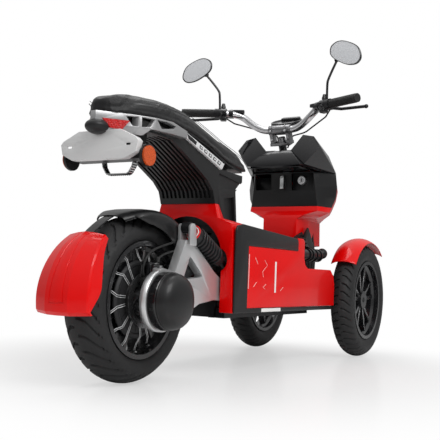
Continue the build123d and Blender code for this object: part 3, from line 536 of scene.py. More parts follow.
def bead(radius, length, sides=8, round_share=0.35):
    """A small round-ended plug along Z."""
    rings = [(-length / 2, radius * (1 - round_share)), (-length / 2 + radius * round_share, radius),
             (length / 2 - radius * round_share, radius), (length / 2, radius * (1 - round_share))]
    points = [(r * math.cos(angle), r * math.sin(angle), z) for z, r in rings for angle in portions(sides)]
    faces = [tuple(range(sides - 1, -1, -1)), tuple(range(3 * sides, 4 * sides))] + strips(4, sides, False,
            True)
    return outward(mesh_of("bead", points, faces))


def soft_box(name, centre, size, edge):
    """A box with rounded edges."""
    shape = bmesh.new()
    bmesh.ops.create_cube(shape, size=1.0)
    for vertex in shape.verts:
        vertex.co = vertex.co * Vector(size)
    bmesh.ops.bevel(shape, geom=list(shape.edges), offset=edge, segments=3, profile=0.5, affect="EDGES")
    for vertex in shape.verts:
        vertex.co += Vector(centre)
    mesh = bpy.data.meshes.new(name)
    shape.to_mesh(mesh)
    shape.free()
    return mesh


def placed(mesh, origin, forward, along, up):
    """The mesh moved from local axes (forward, along, up) into the vehicle's frame, facing outwards."""
    turn = Matrix((forward, along, up)).transposed().to_4x4()
    turn.translation = origin
    mesh.transform(turn)
    return outward(mesh)


# ---- tyres ----
def arc_through(first, middle, last, count):
    """Points on the circle arc through three (along, radius) points."""
    ax, ay = first
    bx, by = middle
    cx, cy = last
    d = 2 * (ax * (by - cy) + bx * (cy - ay) + cx * (ay - by))
    ux = ((ax**2 + ay**2) * (by - cy) + (bx**2 + by**2) * (cy - ay) + (cx**2 + cy**2) * (ay - by)) / d
    uy = ((ax**2 + ay**2) * (cx - bx) + (bx**2 + by**2) * (ax - cx) + (cx**2 + cy**2) * (bx - ax)) / d
    start = math.atan2(ay - uy, ax - ux)
    mid = math.atan2(by - uy, bx - ux)
    end = math.atan2(cy - uy, cx - ux)
    mid = start + math.remainder(mid - start, 2 * math.pi)
    end = mid + math.remainder(end - mid, 2 * math.pi)
    radius = math.hypot(ax - ux, ay - uy)
    return [(ux + radius * math.cos(start + (end - start) * i / count),
             uy + radius * math.sin(start + (end - start) * i / count)) for i in range(count + 1)]


def tread_depth(turn, along, half, pitches, groove, sweep):
    """Depth share, 0 to 1, of the slanted tread grooves at this place."""
    side = 1 if along >= 0 else -1
    reach = abs(along) / half
    phase = (turn * pitches + (0.5 if side > 0 else 0.0) + sweep * (1.5 * reach * reach - 0.5 * reach)) % 1.0
    distance = min(phase, 1 - phase)
    width = groove * (0.55 + 0.75 * reach)
    edge = min(max((width / 2 - distance) / (width * 0.25), 0.0), 1.0)
    inner = min(max((reach - 0.06) / 0.05, 0.0), 1.0)
    return edge * inner


def tyre_piece(name, node, radius, width, bead, rim_half, body, steps, pitches, groove, sweep):
    """A grooved tyre from its outer radius, width and bead radius, for one CAD tyre."""
    flange = 0.007
    half = width / 2
    shoulder = 0.8 * half
    shoulder_radius = radius - 0.17 * width
    belly = bead + flange + 0.42 * (radius - bead - flange)
    right = arc_through((rim_half, bead + flange), (half, belly), (shoulder, shoulder_radius), 10)
    crown = arc_through((shoulder, shoulder_radius), (0.0, radius), (-shoulder, shoulder_radius), 40)
    left = [(-a, r) for a, r in reversed(right)]
    profile = [(rim_half, bead)] + right[:-1] + crown + left[1:] + [(-rim_half, bead)]
    centre = centre_of(node)
    points = []
    groove_depth = 0.0062
    crown_half = half * 0.86
    for step in range(steps):
        turn = step / steps
        angle = 2 * math.pi * turn
        for along, r in profile:
            depth = 0.0
            if r > shoulder_radius - 0.012 and abs(along) < half * 1.02:
                fade = min(max((r - shoulder_radius + 0.012) / 0.01, 0.0), 1.0)
                depth = groove_depth * fade * tread_depth(turn, along, crown_half, pitches, groove, sweep)
            if belly + 0.004 < r < belly + 0.007 and abs(along) > shoulder:
                depth = -0.0006
            points.append(centre + Vector(((r - depth) * math.cos(angle), along,
                                           (r - depth) * math.sin(angle))))
    mesh = outward(mesh_of(name, points, strips(steps, len(profile), True, True)))
    return put(name, mesh, body, "tyre_rubber", [node], 50.0)


tyre_steps = 720
tyre_piece("rear_tyre_tread", "rear_tyre", 0.236, 0.126, 0.160, 0.047, "rear_wheel", tyre_steps, 30, 0.26,
           -1.25)
for word in ("left", "right"):
    tyre_piece("front_tyre_tread_" + word, "front_tyre_" + word, 0.2335, 0.092, 0.1545, 0.034,
               "front_wheel_" + word, tyre_steps, 44, 0.24, -0.7)


# ---- wheels ----
def edge_lines(name, axle, leans, gap, route, line):
    """Thin kinked lines on both edges of a spoke pair, from (across, outwards, along the axle) points."""
    lines = []
    for side, lean in leans:
        places = []
        for across, outwards, along in route:
            reach = side * (gap + across)
            places.append(axle + Vector((reach * math.cos(lean) + outwards * math.sin(lean), along,
                                         -reach * math.sin(lean) + outwards * math.cos(lean))))
        lines.append(tube(name, places, line, 1, smooth=False))
    return lines


def spoke_leans(spokes, start, spread):
    return [(side, lean + side * math.radians(spread)) for lean in portions(spokes, start) for side in (-1,
            1)]


dish_route = [(0.0, 0.066, -0.0367), (0.0, 0.104, -0.0372), (0.010, 0.122, -0.0300), (0.010, 0.142, -0.0215)]
dish_lines = []
for gap, line in ((0.0055, 0.0010), (0.0, 0.0007)):
    dish_lines += edge_lines("dish_line", rear_axle, spoke_leans(7, 0.2, 7.0), gap, dish_route, line)
put("rear_dish_lines", dish_lines, "rear_wheel", "strip_silver")
spoke_route = [(0.0, 0.046), (0.0, 0.090), (0.008, 0.106), (0.008, 0.137)]
for word in ("left", "right"):
    spoke_lines = []
    for face in (-0.0143, 0.0143):
        spoke_lines += edge_lines("spoke_line", centre_of("front_tyre_" + word), spoke_leans(5, 0.0, 9.0),
                                  0.0065,
                                  [(u, v, face) for u, v in spoke_route], 0.0005)
    put("front_spoke_lines_" + word, spoke_lines, "front_wheel_" + word, "bright_edge")


def wheel_dish():
    """The pressed cover behind the brake disc: a shallow dish with raised sectors and rings."""
    profile = [(-0.030, 0.040), (-0.0365, 0.046), (-0.0365, 0.060), (-0.034, 0.063), (-0.0335, 0.094),
               (-0.0365, 0.098),
               (-0.0365, 0.104), (-0.031, 0.110), (-0.027, 0.110), (-0.027, 0.040), (-0.030, 0.040)]
    meshes = [turned("dish", profile, rear_axle, steps=72)]
    inner, outer = 0.066, 0.091
    for start, stop in zip(portions(7, 0.14), portions(7, 0.66)):
        middle = (start + stop) / 2
        corners = [(inner, start), (outer, start), (outer, middle), (outer, stop), (inner, stop),
                   (inner, middle)]
        meshes.append(slab("sector", [on_wheel(r, a, -0.0330) for r, a in corners], (0, -1, 0), 0.0020))
    return meshes


def square_ring(name, back, front, inner, outer, steps):
    """A ring of square section about the rear axle."""
    profile = [(front, inner), (front, outer), (back, outer), (back, inner), (front, inner)]
    return turned(name, profile, rear_axle, steps=steps)


def brake_disc():
    """A thin braking ring on six curved arms, with a seat on the hub."""
    seat = [(-0.0570, 0.016), (-0.0570, 0.034), (-0.0360, 0.036), (-0.0360, 0.016), (-0.0570, 0.016)]
    meshes = [square_ring("ring", -0.0540, -0.0580, 0.060, 0.079, 72),
              turned("seat", seat, rear_axle, steps=40)]
    arm = [(0.030, -0.16), (0.047, 0.0), (0.063, 0.26), (0.063, 0.42), (0.046, 0.22), (0.030, 0.16)]
    for lean in portions(6):
        meshes.append(slab("arm", [on_wheel(r, lean + a, -0.0545) for r, a in arm], (0, -1, 0), 0.0030))
    return meshes


dress("rear_disc", "rear_disc_ring", brake_disc(), "clamp_grey", 30.0)
drilling = [(-0.0575, 0.0), (-0.0583, 0.0), (-0.0583, 0.0017), (-0.0575, 0.0019), (-0.0575, 0.0)]
drillings = [turned("drilling", drilling, on_wheel(0.0655 if k % 2 else 0.0730, angle), steps=8)
             for k, angle in enumerate(portions(30))]
dress("rear_disc", "rear_disc_drillings", drillings, "gloss_black", stands=False)
put("rear_wheel_dish", wheel_dish(), "rear_wheel", "dish_grey")
rim_screw = [(0.026, 0.0), (0.034, 0.0), (0.034, 0.0022), (0.032, 0.0034), (0.026, 0.0036)]
rim_screws = [turned("rim_screw", [(face * along, r) for along, r in rim_screw], on_wheel(0.147, angle),
                     steps=10)
              for angle in portions(14, 0.5) for face in (-1, 1)]
put("rear_rim_screws", rim_screws, "rear_wheel", "bright_edge")


# ---- motor and swing arm ----
cap_profile = [(-0.1450, 0.0), (-0.1450, 0.0790), (-0.1470, 0.0803), (-0.1500, 0.0803), (-0.1512, 0.0790),
               (-0.1610, 0.0772),
               (-0.1700, 0.0735), (-0.1780, 0.0670), (-0.1840, 0.0560), (-0.1875, 0.0400), (-0.1893, 0.0200),
               (-0.1899, 0.0)]
dress("motor_cap", "motor_dome", turned("motor_dome", cap_profile, rear_axle, steps=96), "satin_black", 30.0)
sleeve_profile = [(-0.1190, 0.0), (-0.1190, 0.0800), (-0.1200, 0.0815), (-0.1430, 0.0810), (-0.1448, 0.0790),
                  (-0.1448, 0.0)]
sleeve = turned("motor_sleeve", sleeve_profile, rear_axle, steps=96)
dress("motor_housing", "motor_sleeve", sleeve, "gloss_black", 30.0, stands=False)
core_profile = [(0.047, 0.0), (0.047, 0.016), (-0.036, 0.018), (-0.040, 0.024), (-0.072, 0.027),
                (-0.0740, 0.0560),
                (-0.0790, 0.0580), (-0.0790, 0.0600), (-0.0860, 0.0620), (-0.0970, 0.0620),
                (-0.1180, 0.0600), (-0.1180, 0.0)]
dress("motor_housing", "motor_core", turned("motor_core", core_profile, rear_axle, steps=96), "dash_grey",
      30.0)
core_screw = [(-0.0930, 0.0), (-0.0930, 0.0022), (-0.0942, 0.0034), (-0.0985, 0.0034), (-0.0985, 0.0)]
core_screws = [turned("core_screw", core_screw, on_wheel(0.0740, angle), steps=10) for angle in portions(10,
        0.3)]
put("motor_core_screws", core_screws, body_of["motor_housing"], "plain_screw")
pads = []
for angle in portions(12, 0.5):
    way = Vector((math.cos(angle), 0.0, math.sin(angle)))
    cross = Vector((-math.sin(angle), 0.0, math.cos(angle)))
    base = on_wheel(0.0808, angle)
    outline = [(-0.003, -0.138), (0.003, -0.138), (0.003, -0.126), (-0.003, -0.126)]
    pads.append(slab("pad", [base + cross * u + Vector((0, v, 0)) for u, v in outline], way, 0.0010))
put("motor_sleeve_pads", pads, body_of["motor_housing"], "dash_grey")


def arm_shell():
    """The swing arm with eased edges; the boss round the motor steps back behind the black sleeve."""
    shell = eased("swing_arm", 0.0016, 28.0, 2)
    for vertex in shell.data.vertices:
        across = math.hypot(vertex.co.x - rear_axle.x, vertex.co.z - rear_axle.z)
        if vertex.co.y < -0.125 and across < 0.0885:
            vertex.co.y = -0.119
    shell.data.update()


arm_shell()


# ---- body panels with rounded edges ----
panel_looks = {
    "rear_body": (0.0035, None), "front_apron": (0.0035, None), "front_fascia": (0.0035, None),
    "knee_shield": (0.0035, None),
    "dash_cover": (0.0080, "gloss_black"), "side_panels": (0.0035, None), "side_trims": (0.0060, None),
    "seat_post_front": (0.0035, None), "plate_bracket": (0.0012, "plate_silver"),
    "floor_deck": (0.0012, None),
    "tail_frame": (0.0016, "frame_silver"),
}
panels = {node: eased(node, edge, segments=3, finish=finish) for node, (edge, finish) in panel_looks.items()}
for vertex in panels["rear_body"].data.vertices:
    if vertex.co.z > 0.482:
        vertex.co.x = min(vertex.co.x, rear_axle.x + 0.312 + 0.36 * (0.538 - vertex.co.z))
for word in ("left", "right"):
    eased("front_fender_" + word, 0.0015, 40.0)


# ---- rear hugger ----
hugger_flap = [(20, 0.158), (32, 0.156), (51, 0.172), (66, 0.183), (79, 0.193), (92, 0.203), (101, 0.214),
               (110, 0.240),
               (121, 0.243)]
hugger_over = [(0.082, 0.238), (0.0795, 0.245), (0.066, 0.2515), (0.036, 0.2545), (0.0, 0.2550),
               (-0.040, 0.2545),
               (-0.072, 0.2515), (-0.087, 0.2460), (-0.0925, 0.2400)]


def hugger_row(angle):
    """Points across the hugger at an angle in degrees, from its far side to the flap beside the wheel."""
    for (start, first), (stop, second) in zip(hugger_flap, hugger_flap[1:]):
        if start <= angle <= stop:
            low = first + (second - first) * (angle - start) / (stop - start)
    narrow = 1.0 - 0.62 * max((angle - 96.0) / 25.0, 0.0) ** 1.5
    rise = 0.0015 * math.sin(math.radians(angle))
    row = [(y * narrow, r - 0.004 * (1 - narrow) * abs(y) / 0.08) for y, r in hugger_over]
    side, edge = row[-1]
    low = min(low, edge - 0.001)
    for k in range(1, 7):
        row.append((side - 0.0025 * math.sin(math.pi * k / 6), edge + (low - edge) * k / 6))
    return [on_wheel(r + rise, math.radians(angle), y) for y, r in row]


def skin_mesh(name, rows, thickness):
    """A sheet through the rows, thickened inwards from its outer face."""
    count = len(rows[0])
    mesh = mesh_of(name, [point for row in rows for point in row], strips(len(rows), count, False, False))
    middle = mesh.polygons[(len(rows) // 2) * (count - 1) + 4]
    if middle.normal.dot(Vector((middle.center.x - rear_axle.x, 0.0, middle.center.z - rear_axle.z))) < 0:
        mesh.flip_normals()
    piece = bpy.data.objects.new(name, mesh)
    bpy.context.collection.objects.link(piece)
    wall = piece.modifiers.new("wall", "SOLIDIFY")
    wall.thickness = thickness
    wall.offset = -1.0
    bpy.context.view_layer.update()
    return plain_mesh(piece)


tongue_rows = []
for share in [step / 19 for step in range(20)]:
    radius = 0.2525 + 0.014 * share ** 2
    tongue_rows.append([on_wheel(radius, math.radians(112 + 34 * share), y) for y in (-0.016, -0.012, -0.004,
            0.004, 0.012, 0.016)])
hugger_parts = [skin_mesh("hugger_skin", [hugger_row(22 + 94.0 * i / 70) for i in range(71)], 0.0030),
                skin_mesh("hugger_tongue", tongue_rows, 0.0028),
                soft_box("hugger_foot", ahead(0.2075, -0.0950, 0.3385), (0.034, 0.008, 0.024), 0.002)]
dress("rear_hugger", "rear_hugger_shell", hugger_parts, "satin_black", 40.0)


# ---- rear fender ----
fender_stations = [(139, 0.062, 0.269, 0.260, 0.245), (150, 0.074, 0.285, 0.271, 0.246),
                   (163, 0.083, 0.297, 0.280, 0.238),
                   (176, 0.088, 0.3031, 0.284, 0.240), (188, 0.0865, 0.3031, 0.284, 0.2832)]


def fender_row(place):
    """Points across the rear fender: side walls, shoulders, two creases and a grooved middle panel."""
    angle, half, crease, shoulder, inner = [between([s[i] for s in fender_stations], place) for i in range(5)]
    lip = 0.011 * max(place - 3.72, 0.0) / 0.28
    panel = 0.0105 + 0.0035 * place
    groove = 0.0016 if 0.06 < place < 3.42 else 0.0
    closing = 0.0016 if 3.36 < place < 3.42 else 0.0
    fold = half * 0.42
    crown = crease + 0.003

    def ridge(y):
        return crown + (crease - crown) * y / fold

    side = [(half, inner), (half, (inner * 2 + shoulder) / 3), (half, (inner + shoulder * 2) / 3),
            (half, shoulder - 0.005),
            (half - 0.0012, shoulder - 0.0018), (half - 0.0050, shoulder + 0.0014),
            (half * 0.80, shoulder + (crease - shoulder) * 0.35),
            (half * 0.60, shoulder + (crease - shoulder) * 0.69), (fold, crease),
            (panel + 0.0016, ridge(panel + 0.0016)),
            (panel + 0.0006, ridge(panel) - groove), (panel - 0.0006, ridge(panel) - groove),
            (panel - 0.0016, ridge(panel - 0.0016) - closing), (panel * 0.5, ridge(panel * 0.5) - closing)]
    row = [(-y, r) for y, r in side] + [(0.0, crown - closing)] + [(y, r) for y, r in reversed(side)]
    return [on_wheel(r - lip, math.radians(angle), y) for y, r in row]


def fender_mesh():
    """The fender's skin, with its lower edge and its lower corners trimmed straight."""
    places = sorted([4.0 * i / 90 for i in range(91)] + [0.055, 0.065, 3.355, 3.365, 3.415, 3.425, 3.72])
    mesh = skin_mesh("rear_fender_skin", [fender_row(place) for place in places], 0.0034)
    last_angle = 187.6
    half = 0.0872
    for vertex in mesh.vertices:
        reach = vertex.co - rear_axle
        angle = math.degrees(math.atan2(reach.z, reach.x)) % 360
        if last_angle < angle < 250:
            vertex.co = on_wheel(math.hypot(reach.x, reach.z), math.radians(last_angle), vertex.co.y)
        if angle > 170:
            vertex.co.y = min(max(vertex.co.y, -half), half)
    return mesh


dress("rear_fender", "rear_fender_shell", fender_mesh(), "body_red", 11.0)
eased("rear_caliper", 0.003, finish="gloss_black")
eased("seat_strips", 0.0012, finish="strip_silver")
eased("glove_tray", 0.0012)
hose_routes = [[(0.080, -0.0935, 0.404), (0.030, -0.0900, 0.392), (-0.030, -0.0860, 0.372),
                (-0.058, -0.0820, 0.330), (-0.040, -0.0800, 0.290),
                (0.000, -0.0820, 0.300)],
               [(0.090, -0.0960, 0.380), (0.045, -0.0930, 0.372), (0.006, -0.0900, 0.356),
                (0.0, -0.0860, 0.343)]]
hoses = [tube("hose", [ahead(*place) for place in route], 0.0032, 3) for route in hose_routes]
hoses.append(soft_box("hose_block", ahead(-0.040, -0.078, 0.286), (0.018, 0.016, 0.026), 0.003))
hoses.append(soft_box("hose_clip", ahead(0.004, -0.088, 0.350), (0.014, 0.012, 0.016), 0.003))
put("rear_brake_hoses", hoses, "chassis", "cable_black")
pin = [(-0.090, 0.0), (-0.090, 0.0055), (-0.098, 0.0062), (-0.1000, 0.0045), (-0.1000, 0.0)]
pins = [turned("pin", pin, ahead(x, 0.0, 0.322), steps=12) for x in (-0.012, 0.014)]
put("rear_caliper_pins", pins, "chassis", "bright_edge")


# ---- saddle ----
saddle_stations = [(-0.180, 0.024, 0.741, 0.765, 0.773), (-0.170, 0.040, 0.740, 0.777, 0.786),
                   (-0.145, 0.062, 0.740, 0.786, 0.796), (-0.100, 0.086, 0.740, 0.789, 0.800),
                   (-0.050, 0.108, 0.740, 0.790, 0.802), (0.020, 0.122, 0.738, 0.789, 0.803),
                   (0.120, 0.125, 0.728, 0.781, 0.795), (0.220, 0.124, 0.708, 0.760, 0.775),
                   (0.320, 0.118, 0.684, 0.742, 0.757), (0.420, 0.102, 0.676, 0.733, 0.748),
                   (0.520, 0.076, 0.678, 0.722, 0.736), (0.602, 0.046, 0.684, 0.706, 0.714)]


def saddle_section(place):
    return [between([s[i] for s in saddle_stations], place) for i in range(5)]


def saddle_point(place, share, shrink=0.0):
    """A point on the cover: share 0 and 1 are the two lower edges, 0.5 the crown line."""
    x, half, low, shoulder, crown = saddle_section(place)
    half = max(half - shrink, 0.004)
    angle = math.pi * share
    y = half * math.copysign(abs(math.cos(angle)) ** 0.5, math.cos(angle))
    return ahead(x, y, low + (crown - shrink - low) * abs(math.sin(angle)) ** 0.62)


def saddle_mesh():
    rings = 111
    around = 57
    points = [saddle_point((len(saddle_stations) - 1) * i / (rings - 1), k / (around - 1), 0.003)
              for i in range(rings) for k in range(around)]
    faces = strips(rings, around, False, True)
    faces += [tuple(range(around)), tuple(reversed(range((rings - 1) * around, rings * around)))]
    return outward(mesh_of("saddle_cover", points, faces))


def swell(mesh, voxel, pressure, cap, frames=20):
    """Blows a closed cover up as cloth and keeps every point within the cap."""
    piece = bpy.data.objects.new("swelling", mesh)
    bpy.context.collection.objects.link(piece)
    remesh = piece.modifiers.new("even", "REMESH")
    remesh.mode = "VOXEL"
    remesh.voxel_size = voxel
    bpy.context.view_layer.update()
    even = plain_mesh(piece)
    piece = bpy.data.objects.new("swelling", even)
    bpy.context.collection.objects.link(piece)
    at_rest = [v.co.copy() for v in even.vertices]
    floor_group = piece.vertex_groups.new(name="held")
    for vertex in even.vertices:
        if vertex.normal.z < -0.6:
            floor_group.add([vertex.index], 1.0, "REPLACE")
    cloth = piece.modifiers.new("cloth", "CLOTH")
    cloth.settings.use_pressure = True
    cloth.settings.uniform_pressure_force = pressure
    cloth.settings.effector_weights.gravity = 0.0
    cloth.settings.vertex_group_mass = "held"
    cloth.settings.quality = 4
    cloth.point_cache.frame_start = 1
    cloth.point_cache.frame_end = frames
    for step in range(1, frames + 1):
        bpy.context.scene.frame_set(step)
    graph = bpy.context.evaluated_depsgraph_get()
    swollen = bpy.data.meshes.new_from_object(piece.evaluated_get(graph))
    for vertex, start in zip(swollen.vertices, at_rest):
        move = vertex.co - start
        if move.length > cap:
            vertex.co = start + move.normalized() * cap
    bpy.data.objects.remove(piece)
    bpy.context.scene.frame_set(1)
    return swollen


saddle = saddle_mesh()
saddle = swell(saddle, 0.005, 4.0, 0.006)


def press_seams(mesh, depth, spread):
    """Sewn lines along both sides, above the lower edge and under the shoulder."""
    for vertex in mesh.vertices:
        x = vertex.co.x - rear_axle.x
        place = 0.0 if x < 0.0 else len(saddle_stations) - 1.0
        for i, (first, second) in enumerate(zip(saddle_stations, saddle_stations[1:])):
            if first[0] <= x <= second[0]:
                place = i + (x - first[0]) / (second[0] - first[0])
        _, half, low, shoulder, _ = saddle_section(place)
        push = 0.0
        if vertex.co.z > low + 0.006 and abs(vertex.co.y) > half * 0.5:
            for level, share in ((low + 0.014, 1.0), (low + 0.75 * (shoulder - low), 0.7)):
                push += share * math.exp(-((vertex.co.z - level) / spread) ** 2)
        vertex.co -= vertex.normal * depth * min(push, 1.0)
    mesh.update()


press_seams(saddle, 0.0018, 0.0032)
cover = put("saddle_cover", saddle, "saddle", "seat_cover", ["seat_cushion"], 60.0)
smooth = cover.modifiers.new("smooth", "SUBSURF")
smooth.levels = 1
smooth.render_levels = 1


stitches = []
for share in (0.125, 0.185, 0.815, 0.875):
    route = [saddle_point(0.9 + 9.6 * i / 120, share, -0.0003) for i in range(121)]
    stitches.append(repeat("saddle_stitches", route, bead(0.0009, 0.0055, 6), 110, "stitch_thread"))
put("saddle_stitches", stitches, "saddle", "stitch_thread")


# ---- rear spring and its ring ----
shock_low, shock_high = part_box("rear_shock")
shock_y = (shock_low[1] + shock_high[1]) / 2
shock_back = ahead(0.106, shock_y, 0.448)
shock_front = ahead(0.346, shock_y, 0.335)
shock_line = (shock_front - shock_back).normalized()
side_way = shock_line.cross(Vector((0, 1, 0))).normalized()


def along_shock(distance, radius, angle):
    across = Vector((0, 1, 0)) * math.cos(angle) + side_way * math.sin(angle)
    return shock_back + shock_line * distance + across * radius


spring_turns = 8
spring_route = [along_shock(0.052 + 0.128 * i / (spring_turns * 16), 0.0280, 2 * math.pi * i / 16)
                for i in range(spring_turns * 16 + 1)]
put("rear_shock_spring", tube("rear_shock_spring", spring_route, 0.0030, 3, smooth=False), "chassis",
    "spring_paint")


def ring_on_shock(name, distance, radius, thickness, finish):
    route = [along_shock(distance, radius, angle) for angle in portions(40)]
    put(name, tube(name, route, thickness, 3, smooth=False, closed=True), "chassis", finish)


ring_on_shock("rear_shock_red_ring", 0.0335, 0.0236, 0.0026, "red_ring")
ring_on_shock("rear_shock_pale_ring", 0.0325, 0.0192, 0.0018, "white_marker")
ring_on_shock("rear_shock_end_ring", 0.0325, 0.0156, 0.0016, "red_ring")


# ---- grips ----
rib = turned("rib", [(-0.0016, 0.0160), (-0.0009, 0.0174), (0.0009, 0.0174), (0.0016, 0.0160)], steps=20)
placed(rib, (0, 0, 0), (1, 0, 0), (0, 0, 1), (0, 1, 0))
grip_ribs = []
for side in (-1, 1):
    inner = ahead(0.888, side * 0.205, 0.975)
    outer = ahead(0.815, side * 0.372, 0.975)
    way = (outer - inner).normalized()
    grip_ribs.append(repeat("grip_ribs", [inner + way * 0.060, outer - way * 0.004], rib.copy(), 24,
                            "grip_rubber"))
put("grip_ribs", grip_ribs, "handlebar", "grip_rubber")


def on_bar(mesh, side):
    """A local mesh (forward, outwards along the bar, up) set where the bar meets the grip."""
    return placed(mesh, ahead(0.888, side * 0.205, 0.975), (0.916, 0.400 * side, 0),
                  (-0.400, 0.916 * side, 0), (0, 0, 1))


pod_rings = {
    "pod": [(0.002, 0.0), (0.002, 0.0185), (0.005, 0.0215), (0.028, 0.0215), (0.031, 0.0185), (0.031, 0.0)],
    "collar": [(-0.024, 0.0), (-0.024, 0.0150), (-0.022, 0.0170), (-0.010, 0.0170), (-0.008, 0.0150),
               (-0.008, 0.0)],
}
pod_boxes = [  # name, centre, size, edge
    ("pod_base", (0.0, 0.016, -0.021), (0.028, 0.026, 0.020), 0.005),
    ("pod_button", (-0.0215, 0.012, 0.004), (0.008, 0.012, 0.008), 0.002),
    ("pod_rocker", (-0.0205, 0.023, -0.008), (0.008, 0.008, 0.014), 0.002),
    ("perch", (0.026, -0.014, -0.004), (0.034, 0.022, 0.016), 0.004),
    ("perch_cap", (0.040, 0.004, -0.004), (0.018, 0.020, 0.012), 0.003),
    ("fluid_box", (0.016, -0.046, 0.012), (0.022, 0.046, 0.014), 0.003),
]
lever_ball = [(-0.008, 0.0), (-0.0062, 0.0052), (0.0, 0.0080), (0.0062, 0.0052), (0.008, 0.0)]
mirror_foot = [(-0.004, 0.0), (-0.004, 0.0090), (0.006, 0.0100), (0.012, 0.0080), (0.020, 0.0062),
               (0.020, 0.0)]


def switch_pods():
    meshes = []
    for side in (-1, 1):
        meshes += [on_bar(turned(name, profile, steps=28), side) for name, profile in pod_rings.items()]
        meshes += [on_bar(soft_box(*box), side) for box in pod_boxes]
        meshes.append(turned("lever_ball", lever_ball, ahead(0.903, side * 0.380, 0.963), steps=16))
        foot = turned("mirror_foot", mirror_foot, steps=16)
        meshes.append(placed(foot, ahead(0.8815, side * 0.2210, 0.9965), (1, 0, 0), (0, 0, 1), (0, 1, 0)))
    return meshes


mirror_outline = [(-0.072, -0.014), (-0.058, 0.026), (0.018, 0.044), (0.064, 0.034), (0.076, 0.004),
                  (0.044, -0.038), (-0.038, -0.046)]
mirror_centre = ahead(0.8232, 0.3193, 1.152)


def mirror_ring(size, depth, side):
    """The mirror's rounded outline at a scale and a depth behind the glass, on one side of the vehicle."""
    flat = []
    corners = [Vector(corner) for corner in mirror_outline]
    for before, corner, after in zip(corners[-1:] + corners[:-1], corners, corners[1:] + corners[:1]):
        first, last = corner.lerp(before, 0.44), corner.lerp(after, 0.44)
        for t in [k / 7 for k in range(8)]:
            flat.append(first * (1 - t) ** 2 + corner * 2 * t * (1 - t) + last * t ** 2)
    roll, yaw = math.radians(18.0), math.radians(8.0)
    ring = []
    for point in flat:
        across = point.x * math.cos(roll) - point.y * math.sin(roll)
        high = -(point.x * math.sin(roll) + point.y * math.cos(roll))
        across, high = across * size, high * size
        x = depth * math.cos(yaw) - across * math.sin(yaw)
        y = depth * math.sin(yaw) + across * math.cos(yaw)
        ring.append(Vector((mirror_centre.x + x, side * (mirror_centre.y + y), mirror_centre.z + high)))
    return ring


def mirror_skin(name, rings, side):
    """A closed body through the rings, capped at both ends."""
    rows = [mirror_ring(size, depth, side) for size, depth in rings]
    count = len(rows[0])
    faces = strips(len(rows), count, False, True)
    faces += [tuple(range(count)), tuple(reversed(range((len(rows) - 1) * count, len(rows) * count)))]
    return outward(mesh_of(name, [point for row in rows for point in row], faces))


shell_rings = [(0.90, 0.0022), (0.925, 0.0022), (0.935, 0.0002), (0.965, -0.0006), (0.992, 0.0006),
               (1.0, 0.0035),
               (0.995, 0.0080), (0.96, 0.0120), (0.86, 0.0148), (0.55, 0.0162), (0.2, 0.0166)]
pane_rings = [(0.25, 0.0004), (0.6, 0.0006), (0.928, 0.0010), (0.928, 0.0020), (0.5, 0.0022)]
stalk_route = [(0.8752, 0.2343, 0.9952), (0.8718, 0.2343, 1.054), (0.8690, 0.2400, 1.072),
               (0.8420, 0.2820, 1.130),
               (0.8352, 0.2903, 1.138)]
mirror_knuckle = [(-0.009, 0.0), (-0.009, 0.0070), (0.0, 0.0092), (0.010, 0.0080), (0.010, 0.0)]
sleeve_route = [(0.965, 0.047, 0.909), (0.964, 0.064, 0.909), (0.957, 0.092, 0.918), (0.948, 0.120, 0.935),
                (0.944, 0.146, 0.958), (0.932, 0.168, 0.972), (0.906, 0.191, 0.976), (0.890, 0.204, 0.975)]
shells, panes, sleeves = [], [], []
for side in (-1, 1):
    shells.append(mirror_skin("mirror_shell", shell_rings, side))
    shells.append(tube("mirror_stalk", [ahead(x, side * y, z) for x, y, z in stalk_route], 0.0046, 4))
    shells.append(turned("mirror_knuckle", mirror_knuckle, ahead(0.8400, side * 0.2860, 1.1340), steps=16))
    panes.append(mirror_skin("mirror_pane", pane_rings, side))
    sleeves.append(tube("bar_sleeve", [ahead(x, side * y, z) for x, y, z in sleeve_route], 0.0142, 6))
dress("mirrors", "mirror_shells", shells, "gloss_black", 40.0)
dress("mirror_glass", "mirror_panes", panes, "mirror_face", 30.0)
dress("handlebar", "bar_sleeves", sleeves, "bar_alloy", 40.0, stands=False)
put("switch_pods", switch_pods(), "handlebar", "gloss_black", (), 40.0)


def display_body():
    """A round instrument in a deep hooded case, leaning towards the rider."""
    lean = math.radians(21.5)
    case = [(-0.0300, 0.0), (-0.0300, 0.0280), (-0.0280, 0.0300), (-0.0260, 0.0330), (-0.0220, 0.0520),
            (-0.0160, 0.0620),
            (0.0040, 0.0650), (0.0110, 0.0640), (0.0125, 0.0610), (0.0100, 0.0590), (0.0080, 0.0580),
            (0.0080, 0.0)]
    meshes = [turned("case", case), soft_box("hood", (0.046, 0.012, 0.0), (0.028, 0.014, 0.080), 0.005),
              soft_box("foot", (-0.004, -0.030, 0.0), (0.030, 0.018, 0.044), 0.004)]
    return placed(joined("display_case", meshes), centre_of("display"), (math.cos(lean), 0, math.sin(lean)),
                  (-math.sin(lean), 0, math.cos(lean)), (0, 1, 0))


dress("display", "display_case", display_body(), "gloss_black")
eased("steering_stem", 0.0015, finish="clamp_grey")
facing_rider = ((0, 0, 1), (-1, 0, 0), (0, 1, 0))
stem_bolt = [(-0.004, 0.0), (-0.004, 0.0046), (0.003, 0.0050), (0.0045, 0.0040), (0.0045, 0.0024),
             (0.0020, 0.0020),
             (0.0020, 0.0)]
bolts = [placed(turned("stem_bolt", stem_bolt, steps=12), ahead(x, side * 0.032, z), *facing_rider)
         for side in (-1, 1) for x, z in ((0.938, 0.918), (0.938, 0.900), (0.956, 0.868))]
put("stem_bolts", bolts, "handlebar", "bright_edge")

